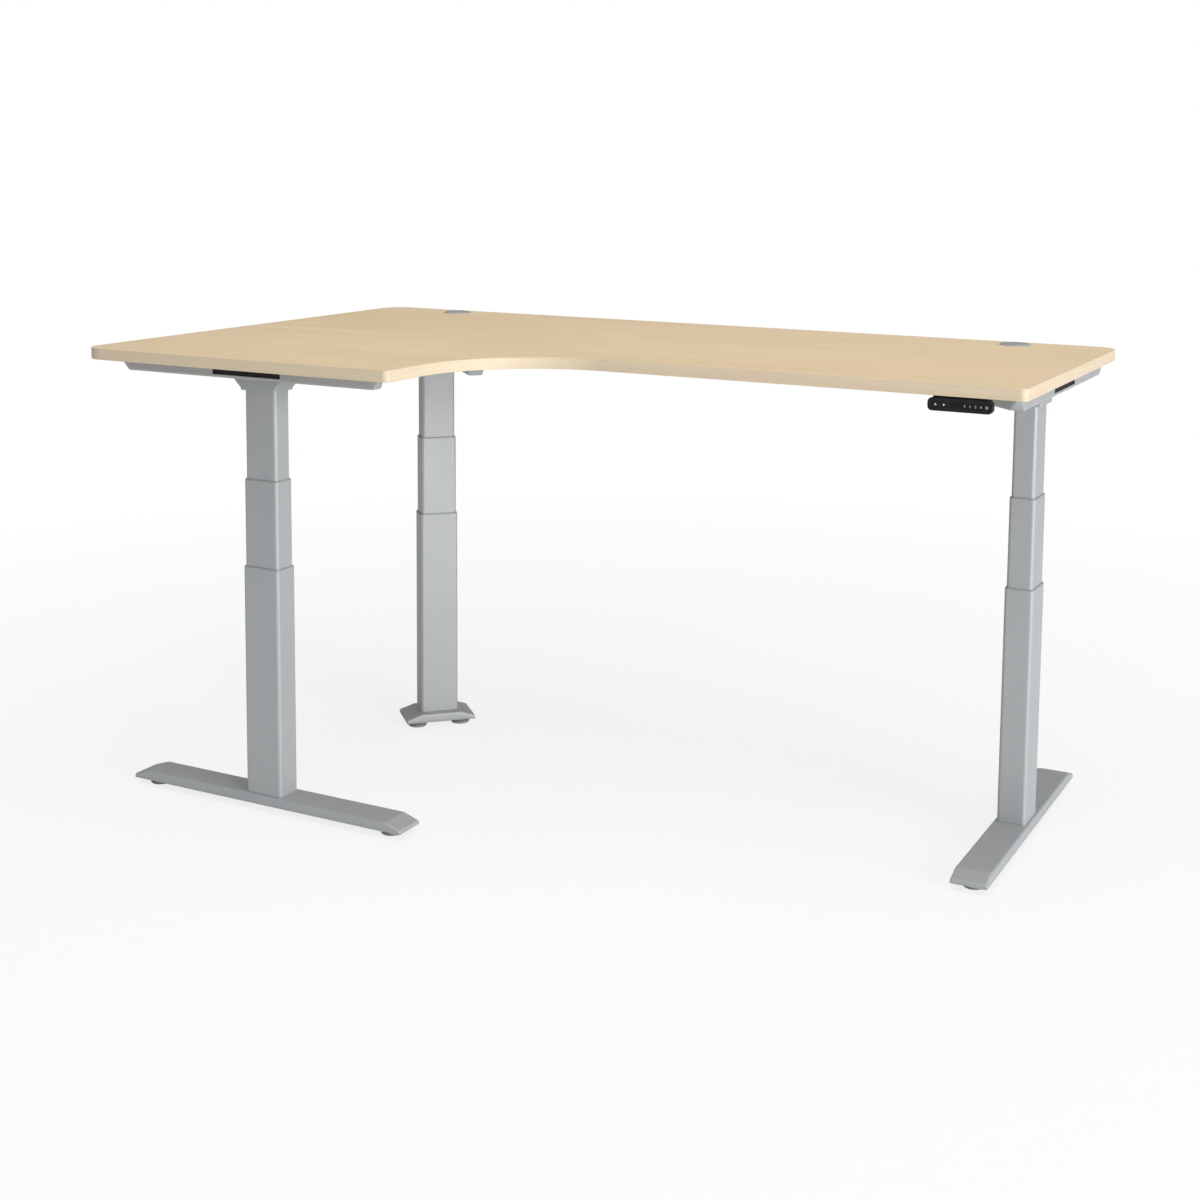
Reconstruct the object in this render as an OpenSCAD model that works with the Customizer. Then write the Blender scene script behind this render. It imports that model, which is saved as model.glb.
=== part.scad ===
// Three-leg, L-shaped, height adjustable standing desk, in millimetres.
// The frame's origin is on the floor below the middle of the desktop's outer rectangle. The long back
// edge runs along X at the +Y side, the return wing runs towards -Y at the -X side, and Z is up.
// The desk is drawn 270 mm above its lowest setting.

/* [Desktop] */
// Length of the long back edge
top_w = 1800; // [1760:10:1900]
// Length of the return wing, from the back edge to its end
top_l = 1100; // [1080:10:1200]
// Depth of the main wing
main_depth = 745; // [720:5:780]
// Width of the return wing
return_width = 735; // [720:5:780]
// Height of the working surface
top_z = 920; // [910:5:930]
// Thickness of the board
top_t = 22; // [18:1:28]
// Radius of the curved inner edge
inner_r = 245; // [180:5:300]
// Radius of the three corners away from the user
corner_r = 50; // [30:5:60]
// Radius of the two corners beside the user
front_corner_r = 12; // [8:1:20]
// Thickness of the edge band
band_t = 1; // [0.5:0.5:2]

/* [Legs] */
// Long side of the outer column
column_l = 86; // [84:1:90]
// Short side of the outer column
column_w = 56; // [54:1:60]
// Sheet thickness of each column
column_wall = 1.8; // [1.5:0.1:2]
// Height of the outer columns' top edge
outer_top_z = 492; // [480:1:500]
// Height of the middle columns' top edge at this setting
middle_top_z = 667; // [650:1:680]
// Height of the underside of the column heads at this setting
head_z = 846; // [835:1:850]

/* [Feet] */
// Length of the two long feet
foot_l = 660; // [600:10:700]
// Width of the two long feet
foot_w = 68; // [64:1:80]
// Height of the feet's top face
foot_top_z = 32; // [30:1:36]
// Length of the small corner foot
corner_foot_l = 158; // [150:2:180]
// Width of the small corner foot
corner_foot_w = 94; // [88:2:110]
// Diameter of the levelling glides
glide_d = 42; // [36:1:48]

/* [Frame under the desktop] */
// Length of the end brackets at their top edge
bracket_l = 634; // [600:2:650]
// Width of the brackets
bracket_w = 96; // [92:1:110]
// Height of the brackets
bracket_h = 26; // [24:1:30]
// Length of the long slot in each end bracket
slot_l = 164; // [120:2:200]

/* [Controls] */
// Length of the keypad
keypad_l = 115; // [114:1:120]
// Height of the keypad
keypad_h = 23; // [21:1:26]
// Travel left behind each keypad button
button_travel = 0.8; // [0.6:0.1:1]
// Diameter of the grommet rings
grommet_d = 64; // [60:1:66]

/* [Hidden] */
$fn = 64;
EPS = 0.1;
fit_gap = 0.3;
top_under_z = top_z - top_t;
web_z = top_under_z - bracket_h;
left_x = -top_w / 2;
back_y = top_l / 2;

// Each leg is [x, y, turn of the column's long side from X].
LEFT_LEG = [left_x + 362, 128 - top_l / 2, 0];
RIGHT_LEG = [top_w / 2 - 84, back_y - 385, 90];
CORNER_LEG = [left_x + 358, back_y - 358, 45];
LEGS = [LEFT_LEG, RIGHT_LEG, CORNER_LEG];

// Telescopic sizes: each stage is smaller by a wall and a sliding gap on every side.
stage_gap = 0.9;
stage_step = 2 * (column_wall + stage_gap);
middle_l = column_l - stage_step;
middle_w = column_w - stage_step;
inner_l = middle_l - stage_step;
inner_w = middle_w - stage_step;
column_r = 7;
middle_bottom_z = 190;
inner_bottom_z = 345;
base_plate_t = 10;
guide_l = 90;
guide_lip = 2;

// Spindle drive inside each leg.
post_r = 15;
post_bore_r = 13;
post_top_z = 415;
nut_h = 25;
carrier_r = 18.5;
carrier_bore_r = 16.5;
carrier_top_z = 612;
hollow_r = 11;
hollow_bore_r = 7;
hollow_bottom_z = 215;
drive_r = 6;
drive_bottom_z = 370;
carrier_plate_t = 6;
carrier_cap_t = 12;
bearing_gap = 0.5;
collar_h = 12;
gearbox_bottom_z = 755;
gearbox_h = 36;
gearbox_r = 20.5;
motor_r = 19;
shaft_socket_l = 17;
motor_plate_t = 5;
motor_top_z = web_z - motor_plate_t;

// Feet.
foot_sheet = 3;
foot_bottom_z = 13;
foot_nose_z = 21;
foot_slope_l = 34;
glide_inset = 40;
glide_pad_h = 9;
stud_r = 4.7;
stud_top_z = 27;
boss_r = 9;
long_glide_x = foot_l / 2 - glide_inset;
corner_glide_x = 50;
corner_glide_y = -18;
foot_bolt_x = 30;
foot_bolt_y = 17;
foot_bolt_r = 4;
foot_bolt_head_r = 7;
foot_bolt_head_h = 4;

// Frame.
sheet = 2.5;
bracket_slope = 21;
bracket_outboard = 64;
bracket_lip = 12;
slot_h = 17;
slot_bottom = 6;
rail_w = 30;
rail_h = 20;
rail_offset = 45;
rail_wall = 1.5;
rail_overlap = 60;
// Each end bracket's inner wall is shorter than its outer one, with slanting walls between them that
// would meet the outer wall this far beyond its ends.
slant_beyond = 8;
// The corner bracket narrows to an arm, along one of its walls, towards the curved edge.
corner_bracket_back = 300;
corner_bracket_front = 545;
taper_x = 330;
taper_l = 90;
arm_w = 30;
head_flare = 26;
head_rim = 4;
head_bolt_x = 28;
head_bolt_y = 13;
head_bolt_r = 3;
screw_r = 2.1;
screw_head_r = 4.2;
screw_head_h = 2;
screw_l = 15;
// Screw places along each bracket, and the middles of an end bracket's two lips.
BRACKET_SCREWS = [-215, -120, 120, 215];
CORNER_SCREWS = [-220, -90, 90, 260];
arm_screw_x = 480;
LIP_A = sheet + bracket_lip / 2 - bracket_outboard;
LIP_B = bracket_w - bracket_outboard - sheet - bracket_lip / 2;

// Grommets. Each ring's flange is let into a shallow rebate in the board.
GROMMETS = [[left_x + 224, back_y - 56], [top_w / 2 - 203, back_y - 56]];
grommet_hole_r = 26.5;
grommet_proud = 3;
rebate_t = 1.3;
ledge_w = 5;
grommet_tube_r = 26;
grommet_tube_wall = 2.5;
cap_r = 22.9;
cable_slot_w = 20;
cable_slot_d = 12;
cap_t = 2.6;
cap_proud = 2.7;

// Control box, behind the back rail.
BOX_AT = [330, back_y - 255];
box_l = 260;
box_w = 104;
box_h = 38;
box_wall = 2.2;
lid_t = 3;

// Keypad, hung below the front edge near the right end.
keypad_x = top_w / 2 - 117;
front_y = back_y - main_depth;
keypad_face_y = front_y - 1;
keypad_depth = 16;
keypad_top_z = top_under_z - 3.5;
keypad_mid_z = keypad_top_z - keypad_h / 2;
keypad_r = 8;
keypad_wall = 2;
plate_l = 100;
plate_w = 32;
plate_t = 5.5;
plate_lap = 10;
fascia_t = 1.5;
button_r = 3;
button_foot_t = 1.8;
button_proud = button_travel + 0.1;
// Each button is [distance from the keypad's middle, width, height].
BUTTONS = [
    [-43, 11, 11], [-28, 11, 11],
    [9, 8, 9], [18.5, 8, 9], [28, 8, 9], [37.5, 8, 9],
    [47.8, 9, 9]
];

// Colours.
silver = "#a9adb0";
steel = "#c2c4c6";
zinc = "#8d9093";
wood = "#dcc39d";
band = "#d8bc90";
black = "#1c1c1e";
grey_plastic = "#8f9396";

// ---- Shared shapes ----

// Points of an arc about c, from angle a0 to a1.
function arc(c, r, a0, a1, n) = [
    for (i = [0:n])
        let (a = a0 + (a1 - a0) * i / n) c + r * [cos(a), sin(a)]
];

// A rectangle centred on the origin with rounded corners.
function round_rect(l, w, r, n = 6) = [
    for (q = [[1, 1, 0], [-1, 1, 90], [-1, -1, 180], [1, -1, 270]])
        each arc([q[0] * (l / 2 - r), q[1] * (w / 2 - r)], r, q[2], q[2] + 90, n)
];

// The desktop's outline, moved inwards by inset.
function desk_outline(inset) =
    let (r = corner_r - inset, rf = front_corner_r - inset)
    let (x0 = left_x + inset, x1 = top_w / 2 - inset, y0 = inset - top_l / 2)
    let (y1 = back_y - inset, xr = left_x + return_width - inset, yf = front_y + inset)
    let (ri = inner_r + inset, n = 10)
    concat(
        arc([x0 + r, y0 + r], r, 180, 270, n),
        arc([xr - rf, y0 + rf], rf, 270, 360, n),
        arc([left_x + return_width + inner_r, front_y - inner_r], ri, 180, 90, 24),
        arc([x1 - rf, yf + rf], rf, 270, 360, n),
        arc([x1 - r, y1 - r], r, 0, 90, n),
        arc([x0 + r, y1 - r], r, 90, 180, n)
    );

// Puts its children on a leg's vertical axis, turned with the leg.
module at_leg(leg) translate([leg[0], leg[1], 0]) rotate(leg[2]) children();

// A vertical rounded tube from z0 to z1 whose outer section is l by w.
module rounded_tube(l, w, wall, z0, z1) {
    translate([0, 0, z0])
        linear_extrude(z1 - z0)
            difference() {
                polygon(round_rect(l, w, column_r));
                polygon(round_rect(l - 2 * wall, w - 2 * wall, column_r - wall));
            }
}

// A vertical round tube.
module pipe(r, bore, z0, z1) {
    translate([0, 0, z0])
        difference() {
            cylinder(r = r, h = z1 - z0);
            translate([0, 0, -1]) cylinder(r = bore, h = z1 - z0 + 2);
        }
}

// ---- Feet ----

// Side profile of a foot: flat on top, with both ends sloping down to a thin nose.
module foot_profile(l, inset) {
    half = l / 2 - inset;
    top = foot_top_z - inset;
    polygon([
        [-half, foot_bottom_z - inset], [half, foot_bottom_z - inset], [half, foot_nose_z - inset],
        [l / 2 - foot_slope_l, top], [foot_slope_l - l / 2, top], [-half, foot_nose_z - inset]
    ]);
}

// The foot's profile across a width of w.
module foot_solid(l, w, inset) rotate([90, 0, 0]) linear_extrude(w, center = true) foot_profile(l, inset);

// A folded sheet foot, open below, with a threaded boss over each glide.
module foot(l, w, glide_x, glide_y) {
    difference() {
        union() {
            difference() {
                foot_solid(l, w, 0);
                foot_solid(l, w - 2 * foot_sheet, foot_sheet);
            }
            intersection() {
                foot_solid(l, w, 0);
                for (s = [-1, 1])
                    translate([s * glide_x, glide_y, foot_bottom_z])
                        cylinder(r = boss_r, h = foot_top_z - foot_bottom_z);
            }
        }
        for (s = [-1, 1])
            translate([s * glide_x, glide_y, 0]) cylinder(r = stud_r + fit_gap, h = stud_top_z + 1);
        column_bolt_places()
            translate([0, 0, foot_bottom_z]) cylinder(r = foot_bolt_r + 0.2, h = foot_top_z);
    }
}

// The four places where a foot is bolted to its column.
module column_bolt_places() {
    for (sx = [-1, 1], sy = [-1, 1])
        translate([sx * foot_bolt_x, sy * foot_bolt_y, 0]) children();
}

module left_foot() color(silver) at_leg(LEFT_LEG) foot(foot_l, foot_w, foot_l / 2 - glide_inset, 0);
module right_foot() color(silver) at_leg(RIGHT_LEG) foot(foot_l, foot_w, foot_l / 2 - glide_inset, 0);

// The corner foot is short and wide, with its two glides towards the middle of the desk.
module corner_foot() color(silver) at_leg(CORNER_LEG)
    foot(corner_foot_l, corner_foot_w, corner_glide_x, corner_glide_y);

// A levelling glide: a domed plastic pad on a threaded stud.
module glide(leg, x, y) {
    at_leg(leg) translate([x, y, 0])
        rotate_extrude()
            polygon([
                [0, 0], [glide_d / 2 - 2, 0], [glide_d / 2, 2], [glide_d / 2, glide_pad_h - 3],
                [glide_d / 2 - 3, glide_pad_h], [stud_r, glide_pad_h], [stud_r, stud_top_z], [0, stud_top_z]
            ]);
}

module left_foot_wall_glide() color(grey_plastic) glide(LEFT_LEG, -long_glide_x, 0);
module left_foot_user_glide() color(grey_plastic) glide(LEFT_LEG, long_glide_x, 0);
module right_foot_back_glide() color(grey_plastic) glide(RIGHT_LEG, long_glide_x, 0);
module right_foot_front_glide() color(grey_plastic) glide(RIGHT_LEG, -long_glide_x, 0);
module corner_foot_back_glide() color(grey_plastic) glide(CORNER_LEG, corner_glide_x, corner_glide_y);
module corner_foot_front_glide() color(grey_plastic) glide(CORNER_LEG, -corner_glide_x, corner_glide_y);

// ---- Outer columns, fixed to the feet ----

// A column tube with a thick bottom plate that takes the foot's bolts and the nut post.
module outer_column(leg) {
    at_leg(leg) {
        rounded_tube(column_l, column_w, column_wall, foot_top_z, outer_top_z);
        difference() {
            translate([0, 0, foot_top_z])
                linear_extrude(base_plate_t) polygon(round_rect(column_l - 1, column_w - 1, column_r));
            column_bolt_places()
                translate([0, 0, foot_top_z - 1]) cylinder(r = foot_bolt_r + 0.1, h = base_plate_t + 2);
        }
    }
}

module left_outer_column() color(silver) outer_column(LEFT_LEG);
module right_outer_column() color(silver) outer_column(RIGHT_LEG);
module corner_outer_column() color(silver) outer_column(CORNER_LEG);

// Button-head bolts from below each foot into the column's bottom plate.
module column_bolts() color(zinc) {
    for (leg = LEGS)
        at_leg(leg) column_bolt_places() {
            translate([0, 0, foot_top_z - foot_sheet - foot_bolt_head_h])
                cylinder(r = foot_bolt_head_r, h = foot_bolt_head_h);
            translate([0, 0, foot_top_z - foot_sheet - EPS])
                cylinder(r = foot_bolt_r, h = foot_sheet + base_plate_t);
        }
}

// A plastic sleeve in the mouth of an l by w column, with a thin lip on the column's edge.
module guide(l, w, mouth_z) {
    hole_l = l - 2 * column_wall - 2 * (stage_gap - fit_gap);
    hole_w = w - 2 * column_wall - 2 * (stage_gap - fit_gap);
    sleeve_l = l - 2 * column_wall - EPS;
    sleeve_w = w - 2 * column_wall - EPS;
    sleeve_r = column_r - column_wall;
    difference() {
        union() {
            translate([0, 0, mouth_z])
                linear_extrude(guide_lip) polygon(round_rect(l - 0.6, w - 0.6, column_r));
            translate([0, 0, mouth_z - guide_l])
                linear_extrude(guide_l + EPS) polygon(round_rect(sleeve_l, sleeve_w, sleeve_r));
        }
        translate([0, 0, mouth_z - guide_l - 1])
            linear_extrude(guide_l + guide_lip + 2) polygon(round_rect(hole_l, hole_w, sleeve_r));
    }
}

module outer_guides() color(grey_plastic) {
    for (leg = LEGS) at_leg(leg) guide(column_l, column_w, outer_top_z);
}

// A fixed post on each bottom plate that holds the lower nut.
module nut_posts() color(zinc) {
    for (leg = LEGS)
        at_leg(leg) {
            pipe(post_r, post_bore_r, foot_top_z + base_plate_t, post_top_z);
            pipe(post_r + 0.5, hollow_r + fit_gap, post_top_z - EPS, post_top_z + nut_h);
        }
}

// ---- Middle columns ----

module middle_column(leg) {
    at_leg(leg) rounded_tube(middle_l, middle_w, column_wall, middle_bottom_z, middle_top_z);
}

module left_middle_column() color(silver) middle_column(LEFT_LEG);
module right_middle_column() color(silver) middle_column(RIGHT_LEG);
module corner_middle_column() color(silver) middle_column(CORNER_LEG);

module left_middle_guide() color(grey_plastic) at_leg(LEFT_LEG) guide(middle_l, middle_w, middle_top_z);
module right_middle_guide() color(grey_plastic) at_leg(RIGHT_LEG) guide(middle_l, middle_w, middle_top_z);
module corner_middle_guide() color(grey_plastic) at_leg(CORNER_LEG) guide(middle_l, middle_w, middle_top_z);

// A tube on a plate across the middle column's bottom. It holds the hollow spindle's bearing and the
// upper nut at its top.
module spindle_carrier(leg) {
    plate_x = middle_l - 2 * column_wall - 2 * EPS;
    plate_y = middle_w - 2 * column_wall - 2 * EPS;
    at_leg(leg)
        difference() {
            union() {
                translate([0, 0, middle_bottom_z])
                    linear_extrude(carrier_plate_t)
                        polygon(round_rect(plate_x, plate_y, column_r - column_wall));
                translate([0, 0, middle_bottom_z])
                    cylinder(r = carrier_r, h = carrier_top_z - middle_bottom_z);
            }
            translate([0, 0, middle_bottom_z - 1])
                cylinder(r = carrier_bore_r, h = carrier_top_z - carrier_cap_t - middle_bottom_z + 1);
            cylinder(r = drive_r + fit_gap, h = carrier_top_z + 1);
        }
}

module left_spindle_carrier() color(steel) spindle_carrier(LEFT_LEG);
module right_spindle_carrier() color(steel) spindle_carrier(RIGHT_LEG);
module corner_spindle_carrier() color(steel) spindle_carrier(CORNER_LEG);

// A hollow screw that turns in the lower nut, with a collar under the carrier's closed top.
module hollow_spindle(leg) {
    top_z = carrier_top_z - carrier_cap_t - bearing_gap;
    at_leg(leg) {
        pipe(hollow_r, hollow_bore_r, hollow_bottom_z, top_z);
        pipe(carrier_bore_r - 1, hollow_bore_r, top_z - 1.5 - collar_h, top_z - 1.5);
    }
}

module left_hollow_spindle() color(steel) hollow_spindle(LEFT_LEG);
module right_hollow_spindle() color(steel) hollow_spindle(RIGHT_LEG);
module corner_hollow_spindle() color(steel) hollow_spindle(CORNER_LEG);

// The screw that the motor turns. It passes through the upper nut into the hollow spindle.
module drive_spindle(leg) {
    at_leg(leg)
        translate([0, 0, drive_bottom_z])
            cylinder(r = drive_r, h = gearbox_bottom_z + shaft_socket_l - drive_bottom_z);
}

module left_drive_spindle() color(steel) drive_spindle(LEFT_LEG);
module right_drive_spindle() color(steel) drive_spindle(RIGHT_LEG);
module corner_drive_spindle() color(steel) drive_spindle(CORNER_LEG);

// ---- Inner columns, fixed to the desktop frame ----

module inner_column(leg) at_leg(leg) rounded_tube(inner_l, inner_w, column_wall, inner_bottom_z, web_z);

module left_inner_column() color(silver) inner_column(LEFT_LEG);
module right_inner_column() color(silver) inner_column(RIGHT_LEG);
module corner_inner_column() color(silver) inner_column(CORNER_LEG);

// A flared collar around an inner column. It flares along the bracket above, which is l long
// across the column there and w wide.
module column_head(l, w, turn) {
    difference() {
        rotate(turn) rotate([90, 0, 0])
            linear_extrude(w, center = true)
                polygon([
                    [-l / 2 - head_rim, head_z], [l / 2 + head_rim, head_z],
                    [l / 2 + head_rim, head_z + 4], [l / 2 + head_flare, web_z],
                    [-l / 2 - head_flare, web_z], [-l / 2 - head_rim, head_z + 4]
                ]);
        translate([0, 0, head_z - 1])
            linear_extrude(bracket_h + 10) polygon(round_rect(inner_l + EPS, inner_w + EPS, column_r));
    }
}

module column_heads() color(silver) {
    for (leg = [LEFT_LEG, RIGHT_LEG])
        at_leg(leg) column_head(inner_l, inner_w + 16, 0);
    at_leg(CORNER_LEG) column_head(inner_w, inner_l + 16, 90);
}

// The four places where each bracket is bolted down to the plate in its column.
module head_bolt_places() {
    for (sx = [-1, 1], sy = [-1, 1])
        translate([sx * head_bolt_x, sy * head_bolt_y, 0]) children();
}

// An in-line motor with its gearbox below, hung from a plate in the top of each inner column.
module gear_motors() color(zinc) {
    plate_x = inner_l - 2 * column_wall - 2 * EPS;
    plate_y = inner_w - 2 * column_wall - 2 * EPS;
    motor_z = gearbox_bottom_z + gearbox_h;
    for (leg = LEGS)
        at_leg(leg)
            difference() {
                union() {
                    translate([0, 0, gearbox_bottom_z]) cylinder(r = gearbox_r, h = gearbox_h);
                    translate([0, 0, motor_z - EPS])
                        cylinder(r = motor_r, h = motor_top_z - motor_z + 2 * EPS);
                    translate([0, 0, motor_top_z])
                        linear_extrude(motor_plate_t)
                            polygon(round_rect(plate_x, plate_y, column_r - column_wall));
                }
                translate([0, 0, gearbox_bottom_z - 1])
                    cylinder(r = drive_r + fit_gap, h = shaft_socket_l + 3);
                head_bolt_places()
                    translate([0, 0, motor_top_z - 1])
                        cylinder(r = head_bolt_r + 0.1, h = motor_plate_t + 2);
            }
}

// ---- Frame under the desktop ----

// Side profile of a bracket from x0 to x1 at its top edge, with sloping ends.
module bracket_profile(x0, x1, inset) {
    polygon([
        [x0 + inset, top_under_z + (inset > 0 ? 1 : 0)], [x0 + bracket_slope + inset, web_z + inset],
        [x1 - bracket_slope - inset, web_z + inset], [x1 - inset, top_under_z + (inset > 0 ? 1 : 0)]
    ]);
}

// An end bracket's outline seen from above, moved inwards by inset: a trapezoid with 45 degree ends.
function end_plan(inset) =
    let (ya = inset - bracket_outboard, yb = bracket_w - bracket_outboard - inset)
    let (reach = bracket_l / 2 + slant_beyond)
    let (xa = reach - inset * (1 + sqrt(2)), xb = reach - bracket_w + inset * (1 - sqrt(2)))
    [[-xa, ya], [xa, ya], [xb, yb], [-xb, yb]];

// The corner bracket's outline seen from above, moved inwards by inset.
function corner_plan(inset) =
    let (near = inset - bracket_w / 2, far = bracket_w / 2 - inset, arm_y = arm_w - bracket_w / 2 - inset)
    let (drop = bracket_w - arm_w)
    let (back = inset * (sqrt(taper_l * taper_l + drop * drop) - taper_l) / drop)
    let (x0 = -corner_bracket_back, x1 = taper_x - back, x2 = x1 + taper_l, x3 = corner_bracket_front)
    [[x0, near], [x3, near], [x3, arm_y], [x2, arm_y], [x1, far], [x0, far]];

// The room inside a plan and a side profile from x0 to x1.
module tray_block(x0, x1, plan, inset) {
    intersection() {
        translate([0, bracket_w, 0])
            rotate([90, 0, 0]) linear_extrude(2 * bracket_w) bracket_profile(x0, x1, inset);
        translate([0, 0, web_z - 1]) linear_extrude(bracket_h + 5) polygon(plan);
    }
}

// A folded tray, open at the top.
module tray(x0, x1, outer, inner) {
    difference() {
        tray_block(x0, x1, outer, 0);
        tray_block(x0, x1, inner, sheet);
    }
}

// A lip under the desktop, from x0 to x1 and from y towards +Y, cut to a plan.
module lip(x0, x1, y, plan) {
    intersection() {
        translate([x0, y, top_under_z - sheet]) cube([x1 - x0, bracket_lip, sheet]);
        translate([0, 0, web_z]) linear_extrude(bracket_h + 1) polygon(plan);
    }
}

// The long slot in an end bracket's outer wall.
module bracket_slot(depth) {
    translate([-slot_l / 2, -bracket_outboard - 1, web_z + slot_bottom]) cube([slot_l, depth, slot_h]);
}

// An end bracket about its leg's axis, with its slotted wall on the -Y side.
module end_bracket() {
    half = bracket_l / 2;
    difference() {
        union() {
            tray(-half, half, end_plan(0), end_plan(sheet));
            for (y = [LIP_A - bracket_lip / 2 - EPS, LIP_B - bracket_lip / 2 + EPS])
                lip(bracket_slope - half, half - bracket_slope, y, end_plan(sheet / 2));
        }
        bracket_slot(sheet + 2);
        head_bolt_places() translate([0, 0, web_z - 1]) cylinder(r = head_bolt_r + 0.4, h = sheet + 2);
        for (x = BRACKET_SCREWS, y = [LIP_A, LIP_B])
            translate([x, y, top_under_z - sheet - 1]) cylinder(r = screw_r + 0.4, h = sheet + 2);
    }
}

module left_end_bracket() color(silver) at_leg(LEFT_LEG) end_bracket();
module right_end_bracket() color(silver) at_leg(RIGHT_LEG) end_bracket();

// The screws through the corner bracket's lips, along the bracket.
module corner_screw_places() {
    lip_y = bracket_w / 2 - sheet - bracket_lip / 2;
    for (x = CORNER_SCREWS, s = [-1, 1])
        translate([x, s * lip_y, 0]) children();
    translate([arm_screw_x, -lip_y, 0]) children();
}

// The corner bracket runs on the diagonal, from near the back corner to near the curved edge.
module corner_bracket() color(silver) at_leg(CORNER_LEG)
    difference() {
        rotate(-90) {
            tray(-corner_bracket_back, corner_bracket_front, corner_plan(0), corner_plan(sheet));
            lip(
                bracket_slope - corner_bracket_back, corner_bracket_front - bracket_slope,
                sheet - bracket_w / 2 - EPS, corner_plan(0)
            );
            lip(
                bracket_slope - corner_bracket_back, taper_x,
                bracket_w / 2 - sheet - bracket_lip + EPS, corner_plan(0)
            );
        }
        head_bolt_places() translate([0, 0, web_z - 1]) cylinder(r = head_bolt_r + 0.4, h = sheet + 2);
        rotate(-90) corner_screw_places()
            translate([0, 0, top_under_z - sheet - 1]) cylinder(r = screw_r + 0.4, h = sheet + 2);
    }

// Black plastic plates clipped behind the end brackets' slots.
module slot_inserts() color(black) {
    for (leg = [LEFT_LEG, RIGHT_LEG])
        at_leg(leg)
            translate([-slot_l / 2 - 4, sheet - bracket_outboard, web_z + sheet + 1])
                cube([slot_l + 8, 3, bracket_h - 2 * sheet - 1]);
}

// Rectangular tube along X from x0 to x1, centred on y.
module rail(x0, x1, y) {
    translate([x0, y - rail_w / 2, top_under_z - rail_h])
        difference() {
            cube([x1 - x0, rail_w, rail_h]);
            translate([-1, rail_wall, rail_wall])
                cube([x1 - x0 + 2, rail_w - 2 * rail_wall, rail_h - 2 * rail_wall]);
        }
}

// Everything on the corner bracket's side of its wall, to cut the rails' slanted ends. side is 1 for
// the wall towards the main wing and -1 for the wall towards the return wing.
module diagonal_cut(side) {
    at_leg(CORNER_LEG)
        rotate(side > 0 ? 0 : 180)
            translate([bracket_w / 2 - 900, -900, web_z - 10]) cube([900, 1800, bracket_h + 20]);
}

// Two rails from the corner bracket to the right end bracket.
module main_rails() color(silver) {
    for (s = [-1, 1])
        difference() {
            rail(
                CORNER_LEG[0] - rail_overlap, RIGHT_LEG[0] + bracket_outboard - bracket_w,
                RIGHT_LEG[1] + s * rail_offset
            );
            diagonal_cut(1);
        }
}

// Two rails from the left end bracket to the corner bracket.
module return_rails() color(silver) {
    for (s = [-1, 1])
        difference() {
            translate([LEFT_LEG[0] + s * rail_offset, 0, 0])
                rotate(90) rail(LEFT_LEG[1] + bracket_w - bracket_outboard, CORNER_LEG[1] + rail_overlap, 0);
            diagonal_cut(-1);
        }
}

// A pan-head wood screw pointing up, with its head under a sheet whose top is at z.
module wood_screw(z) {
    translate([0, 0, z - sheet - screw_head_h]) cylinder(r = screw_head_r, h = screw_head_h);
    translate([0, 0, z - sheet - EPS]) cylinder(r = screw_r, h = screw_l);
}

// A bolt down through a bracket's web into the plate in the column.
module head_bolt() {
    translate([0, 0, web_z + sheet]) cylinder(r = 5.5, h = 3);
    translate([0, 0, motor_top_z]) cylinder(r = head_bolt_r, h = motor_plate_t + sheet + EPS);
}

// All the screws that hold the frame to the desktop, and the bolts that hold it to the columns.
module frame_screws() color(zinc) {
    for (leg = LEGS)
        at_leg(leg) head_bolt_places() head_bolt();
    for (leg = [LEFT_LEG, RIGHT_LEG])
        at_leg(leg)
            for (x = BRACKET_SCREWS, y = [LIP_A, LIP_B])
                translate([x, y, 0]) wood_screw(top_under_z);
    at_leg(CORNER_LEG) rotate(-90) corner_screw_places() wood_screw(top_under_z);
}

// ---- Desktop ----

module desktop() color(wood)
    difference() {
        translate([0, 0, top_under_z]) linear_extrude(top_t) polygon(desk_outline(band_t));
        for (g = GROMMETS) {
            translate([g[0], g[1], top_under_z - 1]) cylinder(r = grommet_hole_r, h = top_t + 2);
            translate([g[0], g[1], top_z - rebate_t]) cylinder(r = grommet_d / 2 + fit_gap, h = top_t);
        }
    }

module edge_band() color(band)
    translate([0, 0, top_under_z])
        linear_extrude(top_t)
            difference() {
                polygon(desk_outline(0));
                polygon(desk_outline(band_t));
            }

// Flanged rings that line the two cable holes. A ledge inside each one carries its cap.
module grommet_rings() color(grey_plastic) {
    bore_r = grommet_tube_r - grommet_tube_wall;
    ring_top_z = top_z + grommet_proud;
    ledge_z = top_z + cap_proud - cap_t - fit_gap;
    for (g = GROMMETS)
        translate([g[0], g[1], 0])
            rotate_extrude()
                polygon([
                    [grommet_tube_r, top_under_z + 2], [grommet_tube_r, top_z - rebate_t],
                    [grommet_d / 2, top_z - rebate_t], [grommet_d / 2, top_z + 1.2],
                    [grommet_d / 2 - 3, ring_top_z], [bore_r, ring_top_z],
                    [bore_r, ledge_z], [grommet_tube_r - ledge_w, ledge_z],
                    [grommet_tube_r - ledge_w, ledge_z - 2], [bore_r, ledge_z - 4],
                    [bore_r, top_under_z + 2]
                ]);
}

// A turning cap with a cable slot in its rim.
module grommet_cap(g) {
    translate([g[0], g[1], top_z + cap_proud - cap_t])
        difference() {
            cylinder(r = cap_r, h = cap_t);
            translate([-cable_slot_w / 2, cap_r - cable_slot_d, -1])
                cube([cable_slot_w, cable_slot_d + 1, cap_t + 2]);
        }
}

module left_grommet_cap() color(grey_plastic) grommet_cap(GROMMETS[0]);
module right_grommet_cap() color(grey_plastic) grommet_cap(GROMMETS[1]);

// ---- Control box ----

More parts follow.
